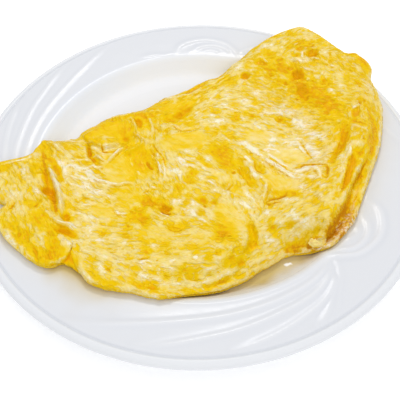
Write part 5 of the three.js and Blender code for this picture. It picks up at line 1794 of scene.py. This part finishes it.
def egg_material():
    m, nt, b = material("moist_egg")
    tc = node(nt, "ShaderNodeTexCoord").outputs["Object"]
    at = node(nt, "ShaderNodeAttribute")
    at.attribute_name = "tone"
    sep = node(nt, "ShaderNodeSeparateColor")
    nt.links.new(at.outputs["Color"], sep.inputs[0])
    orange, pale, brown = sep.outputs[0], sep.outputs[1], sep.outputs[2]
    film = at.outputs["Alpha"]
    n1 = noise_node(nt, tc, 500.0, 2.0, 0.55, (1.0, 1.5, 1.0))
    n3 = noise_node(nt, tc, 45.0, 2.0, 0.5)
    wet = maths(nt, "SUBTRACT", 1.0, maths(nt, "MULTIPLY", film, 0.72))
    # fine crinkles that follow the run of the surface: six directions, weighted by place
    run = []
    for name in ("run_a", "run_b"):
        ra = node(nt, "ShaderNodeAttribute")
        ra.attribute_name = name
        rs = node(nt, "ShaderNodeSeparateColor")
        nt.links.new(ra.outputs["Color"], rs.inputs[0])
        run += [rs.outputs[0], rs.outputs[1], rs.outputs[2]]
    # the runs waver: the point is shifted a little before the noise is read
    wv = node(nt, "ShaderNodeTexNoise")
    wv.inputs["Scale"].default_value = 260.0
    wv.inputs["Detail"].default_value = 1.0
    nt.links.new(tc, wv.inputs["Vector"])
    sh = node(nt, "ShaderNodeVectorMath")
    sh.operation = "MULTIPLY_ADD"
    nt.links.new(wv.outputs["Color"], sh.inputs[0])
    sh.inputs[1].default_value = (0.0022, 0.0022, 0.0)
    nt.links.new(tc, sh.inputs[2])
    fine = None
    for k in range(6):
        mp = node(nt, "ShaderNodeMapping")
        mp.vector_type = "TEXTURE"
        mp.inputs["Rotation"].default_value = (0.0, 0.0, math.radians(30 * k))
        mp.inputs["Scale"].default_value = (0.0058, 0.0019, 0.003)
        mp.inputs["Location"].default_value = (0.31 * k, 0.17 * k, 0.0)
        nt.links.new(sh.outputs[0], mp.inputs["Vector"])
        nz = node(nt, "ShaderNodeTexNoise")
        nz.inputs["Scale"].default_value = 1.0
        nz.inputs["Detail"].default_value = 1.2
        nz.inputs["Roughness"].default_value = 0.6
        nt.links.new(mp.outputs[0], nz.inputs["Vector"])
        part = maths(nt, "MULTIPLY", maths(nt, "SUBTRACT", nz.outputs["Fac"], 0.5), run[k])
        fine = part if fine is None else maths(nt, "ADD", fine, part)
    # flat-topped flakes stand where the noise is high; small hollows where it is low. The flakes are painted paler as
    # painted sheen, the hollows deeper orange as painted shade.
    thread = ramp(nt, maths(nt, "ABSOLUTE", maths(nt, "ADD", fine, 0.012)), 0.0, 0.058, 1.0, 0.0)
    flake = ramp(nt, fine, 0.018, 0.112, 0.0, 1.0)
    lines = maths(nt, "ADD", maths(nt, "MULTIPLY", thread, 0.62), maths(nt, "MULTIPLY", flake, 0.62))
    hollow = ramp(nt, fine, -0.04, -0.15, 0.0, 1.0)
    bank_shade = ramp(nt, maths(nt, "ABSOLUTE", maths(nt, "ADD", fine, 0.062)), 0.0, 0.034, 1.0, 0.0)
    relief = maths(nt, "SUBTRACT", lines, maths(nt, "MULTIPLY", hollow, 0.6))
    relief = maths(nt, "MULTIPLY", relief, wet)
    t = maths(nt, "SUBTRACT", pale, orange)
    gain = maths(nt, "ADD", maths(nt, "MULTIPLY", pale, 0.72), 0.66)
    fleck = maths(nt, "SUBTRACT", maths(nt, "MULTIPLY", lines, gain), maths(nt, "MULTIPLY", hollow, 0.50))
    t = maths(nt, "ADD", t, maths(nt, "MULTIPLY", maths(nt, "SUBTRACT", fleck, 0.14), wet))
    t = maths(nt, "ADD", t, ramp(nt, n3, 0.35, 0.7, 0.06, -0.06))
    # thin lines: creases deepened as painted shade, partly pushed towards brown, and lit ridges painted paler as
    # painted glints
    la = node(nt, "ShaderNodeAttribute")
    la.attribute_name = "lines"
    ls = node(nt, "ShaderNodeSeparateColor")
    nt.links.new(la.outputs["Color"], ls.inputs[0])
    jag = maths(nt, "MULTIPLY", maths(nt, "SUBTRACT", n1, 0.48), 0.75)
    dark = maths(nt, "MULTIPLY", ramp(nt, maths(nt, "ADD", ls.outputs[0], jag), 0.48, 0.34, 0.0, 1.0), ls.outputs[1])
    light = maths(nt, "MULTIPLY", ramp(nt, maths(nt, "ADD", ls.outputs[2], jag), 0.46, 0.32, 0.0, 1.0), la.outputs["Alpha"])
    t = maths(nt, "ADD", t, maths(nt, "SUBTRACT", maths(nt, "MULTIPLY", light, 0.92), maths(nt, "MULTIPLY", dark, 0.95)))
    # browned areas are streaked down the slope
    nb = noise_node(nt, tc, 560.0, 2.0, 0.6, (1.3, 1.3, 0.45))
    singed = maths(nt, "MULTIPLY", brown, 3.0, clamp=True)
    t = maths(nt, "ADD", t, maths(nt, "MULTIPLY", singed, ramp(nt, nb, 0.40, 0.62, 0.28, -0.40)))
    brown = maths(nt, "MULTIPLY", brown, ramp(nt, nb, 0.38, 0.62, 0.40, 1.40))
    col = mixc(nt, ramp(nt, t, 0.10, -0.50, 0.0, 1.0), YELLOW, ORANGE)
    col = mixc(nt, ramp(nt, t, -0.60, -1.75, 0.0, 1.0), col, AMBER)
    col = mixc(nt, ramp(nt, t, -0.22, 0.66, 0.0, 1.0), col, PALE)
    col = mixc(nt, ramp(nt, t, 0.68, 1.65, 0.0, 1.0), col, CREAM_AND_GLINT)
    # thin ochre bands between flakes and hollows: painted shade
    col = mixc(nt, maths(nt, "MULTIPLY", maths(nt, "MULTIPLY", bank_shade, wet), 0.34), col, OCHRE)
    col = mixc(nt, maths(nt, "MULTIPLY", ramp(nt, n1, 0.42, 0.28, 0.0, 0.22), wet), col, OCHRE)
    # browned areas, and the crease lines partly pushed towards brown as painted shade
    col = mixc(nt, maths(nt, "ADD", brown, maths(nt, "MULTIPLY", dark, 0.48), clamp=True), col, BROWN)
    nt.links.new(col, b.inputs["Base Color"])
    rough = ramp(nt, n1, 0.3, 0.7, 0.18, 0.30)
    rough = maths(nt, "ADD", rough, maths(nt, "MULTIPLY", film, 0.04), clamp=True)
    nt.links.new(rough, b.inputs["Roughness"])
    b.inputs["IOR"].default_value = 1.38
    b.inputs["Specular IOR Level"].default_value = 0.11
    b.inputs["Specular Tint"].default_value = (1.0, 0.94, 0.66, 1.0)
    b.inputs["Subsurface Weight"].default_value = 0.12
    b.inputs["Subsurface Radius"].default_value = (1.0, 0.55, 0.12)
    b.inputs["Subsurface Scale"].default_value = 0.0016
    bump = node(nt, "ShaderNodeBump")
    bump.inputs["Strength"].default_value = 1.0
    bump.inputs["Distance"].default_value = 0.00026
    nt.links.new(relief, bump.inputs["Height"])
    nt.links.new(bump.outputs[0], b.inputs["Normal"])
    return m


# =====================================================================
#  Scene
# =====================================================================
plate = build_plate()
plate.data.materials.append(porcelain_material())
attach(plate, "root")
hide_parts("plate")

egg = build_omelette()
fix_normals(egg)
egg.data.materials.append(egg_material())
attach(egg, "root")
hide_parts("omelette")

nub = build_nub()
fix_normals(nub)
nub.data.materials.append(egg.data.materials[0])
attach(nub, "root")
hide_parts("omelette")

# carried-over solids still get their own finish
for name, mat in (("plate", plate.data.materials[0]), ("omelette", egg.data.materials[0])):
    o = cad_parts[name]
    o.data.materials.clear()
    o.data.materials.append(mat)

# floor
fm = bpy.data.meshes.new("floor")
S = 9.0
fm.from_pydata([(-S, -S, 0), (S, -S, 0), (S, S, 0), (-S, S, 0)], [], [(0, 1, 2, 3)])
floor = bpy.data.objects.new("floor", fm)
SC.collection.objects.link(floor)
m, nt, b = material("pale_floor")
tc = node(nt, "ShaderNodeTexCoord").outputs["Object"]
nt.links.new(mixc(nt, ramp(nt, noise_node(nt, tc, 3.0), 0.3, 0.7), (0.97, 0.97, 0.97), (0.985, 0.985, 0.985)), b.inputs["Base Color"])
b.inputs["Roughness"].default_value = 0.9
b.inputs["Specular IOR Level"].default_value = 0.1
b.inputs["Emission Color"].default_value = (1.0, 1.0, 1.0, 1.0)
b.inputs["Emission Strength"].default_value = 0.22
floor.data.materials.append(m)
floor.location = (0, 0, -0.0002)

# world
w = bpy.data.worlds.new("studio")
SC.world = w
w.use_nodes = True
w.node_tree.nodes["Background"].inputs[0].default_value = (1.0, 1.0, 1.0, 1)
w.node_tree.nodes["Background"].inputs[1].default_value = 0.53


def area(name, loc, target, size, power, colour=(1, 1, 1), size_y=None):
    l = bpy.data.lights.new(name, "AREA")
    l.energy = power
    l.color = colour
    l.shape = "RECTANGLE"
    l.size = size
    l.size_y = size_y or size
    o = bpy.data.objects.new(name, l)
    SC.collection.objects.link(o)
    o.location = loc
    d = Vector(target) - Vector(loc)
    o.rotation_euler = d.to_track_quat("-Z", "Y").to_euler()
    return o


area("key_back", (0.0, 0.77, 1.0), (0, 0, 0.02), 0.22, 3.9, (1.0, 0.99, 0.97), 0.18)
area("front_soft", (0.16, -1.0, 1.0), (0, 0, 0.02), 1.4, 6.1, (0.985, 0.99, 1.0), 0.9)
area("top_soft", (0.0, 0.10, 1.5), (0, 0, 0.02), 1.2, 4.3, (0.98, 0.99, 1.0))

# camera
cam_data = bpy.data.cameras.new("camera")
cam_data.sensor_fit = "HORIZONTAL"
cam_data.sensor_width = 36.0
cam_data.lens = 36.0 * F_PX / 400.0
cam_data.clip_start = 0.01
cam_data.clip_end = 20.0
cam = bpy.data.objects.new("camera", cam_data)
SC.collection.objects.link(cam)
R = Matrix(((C_RIGHT[0], C_UP[0], -C_FWD[0]), (C_RIGHT[1], C_UP[1], -C_FWD[1]), (C_RIGHT[2], C_UP[2], -C_FWD[2])))
cam.matrix_world = Matrix.Translation(Vector(CAM * MM)) @ R.to_4x4()
SC.camera = cam

SC.view_settings.view_transform = "Standard"
SC.view_settings.look = "None"
SC.view_settings.exposure = 0.0
SC.view_settings.gamma = 1.0

bpy.context.view_layer.update()
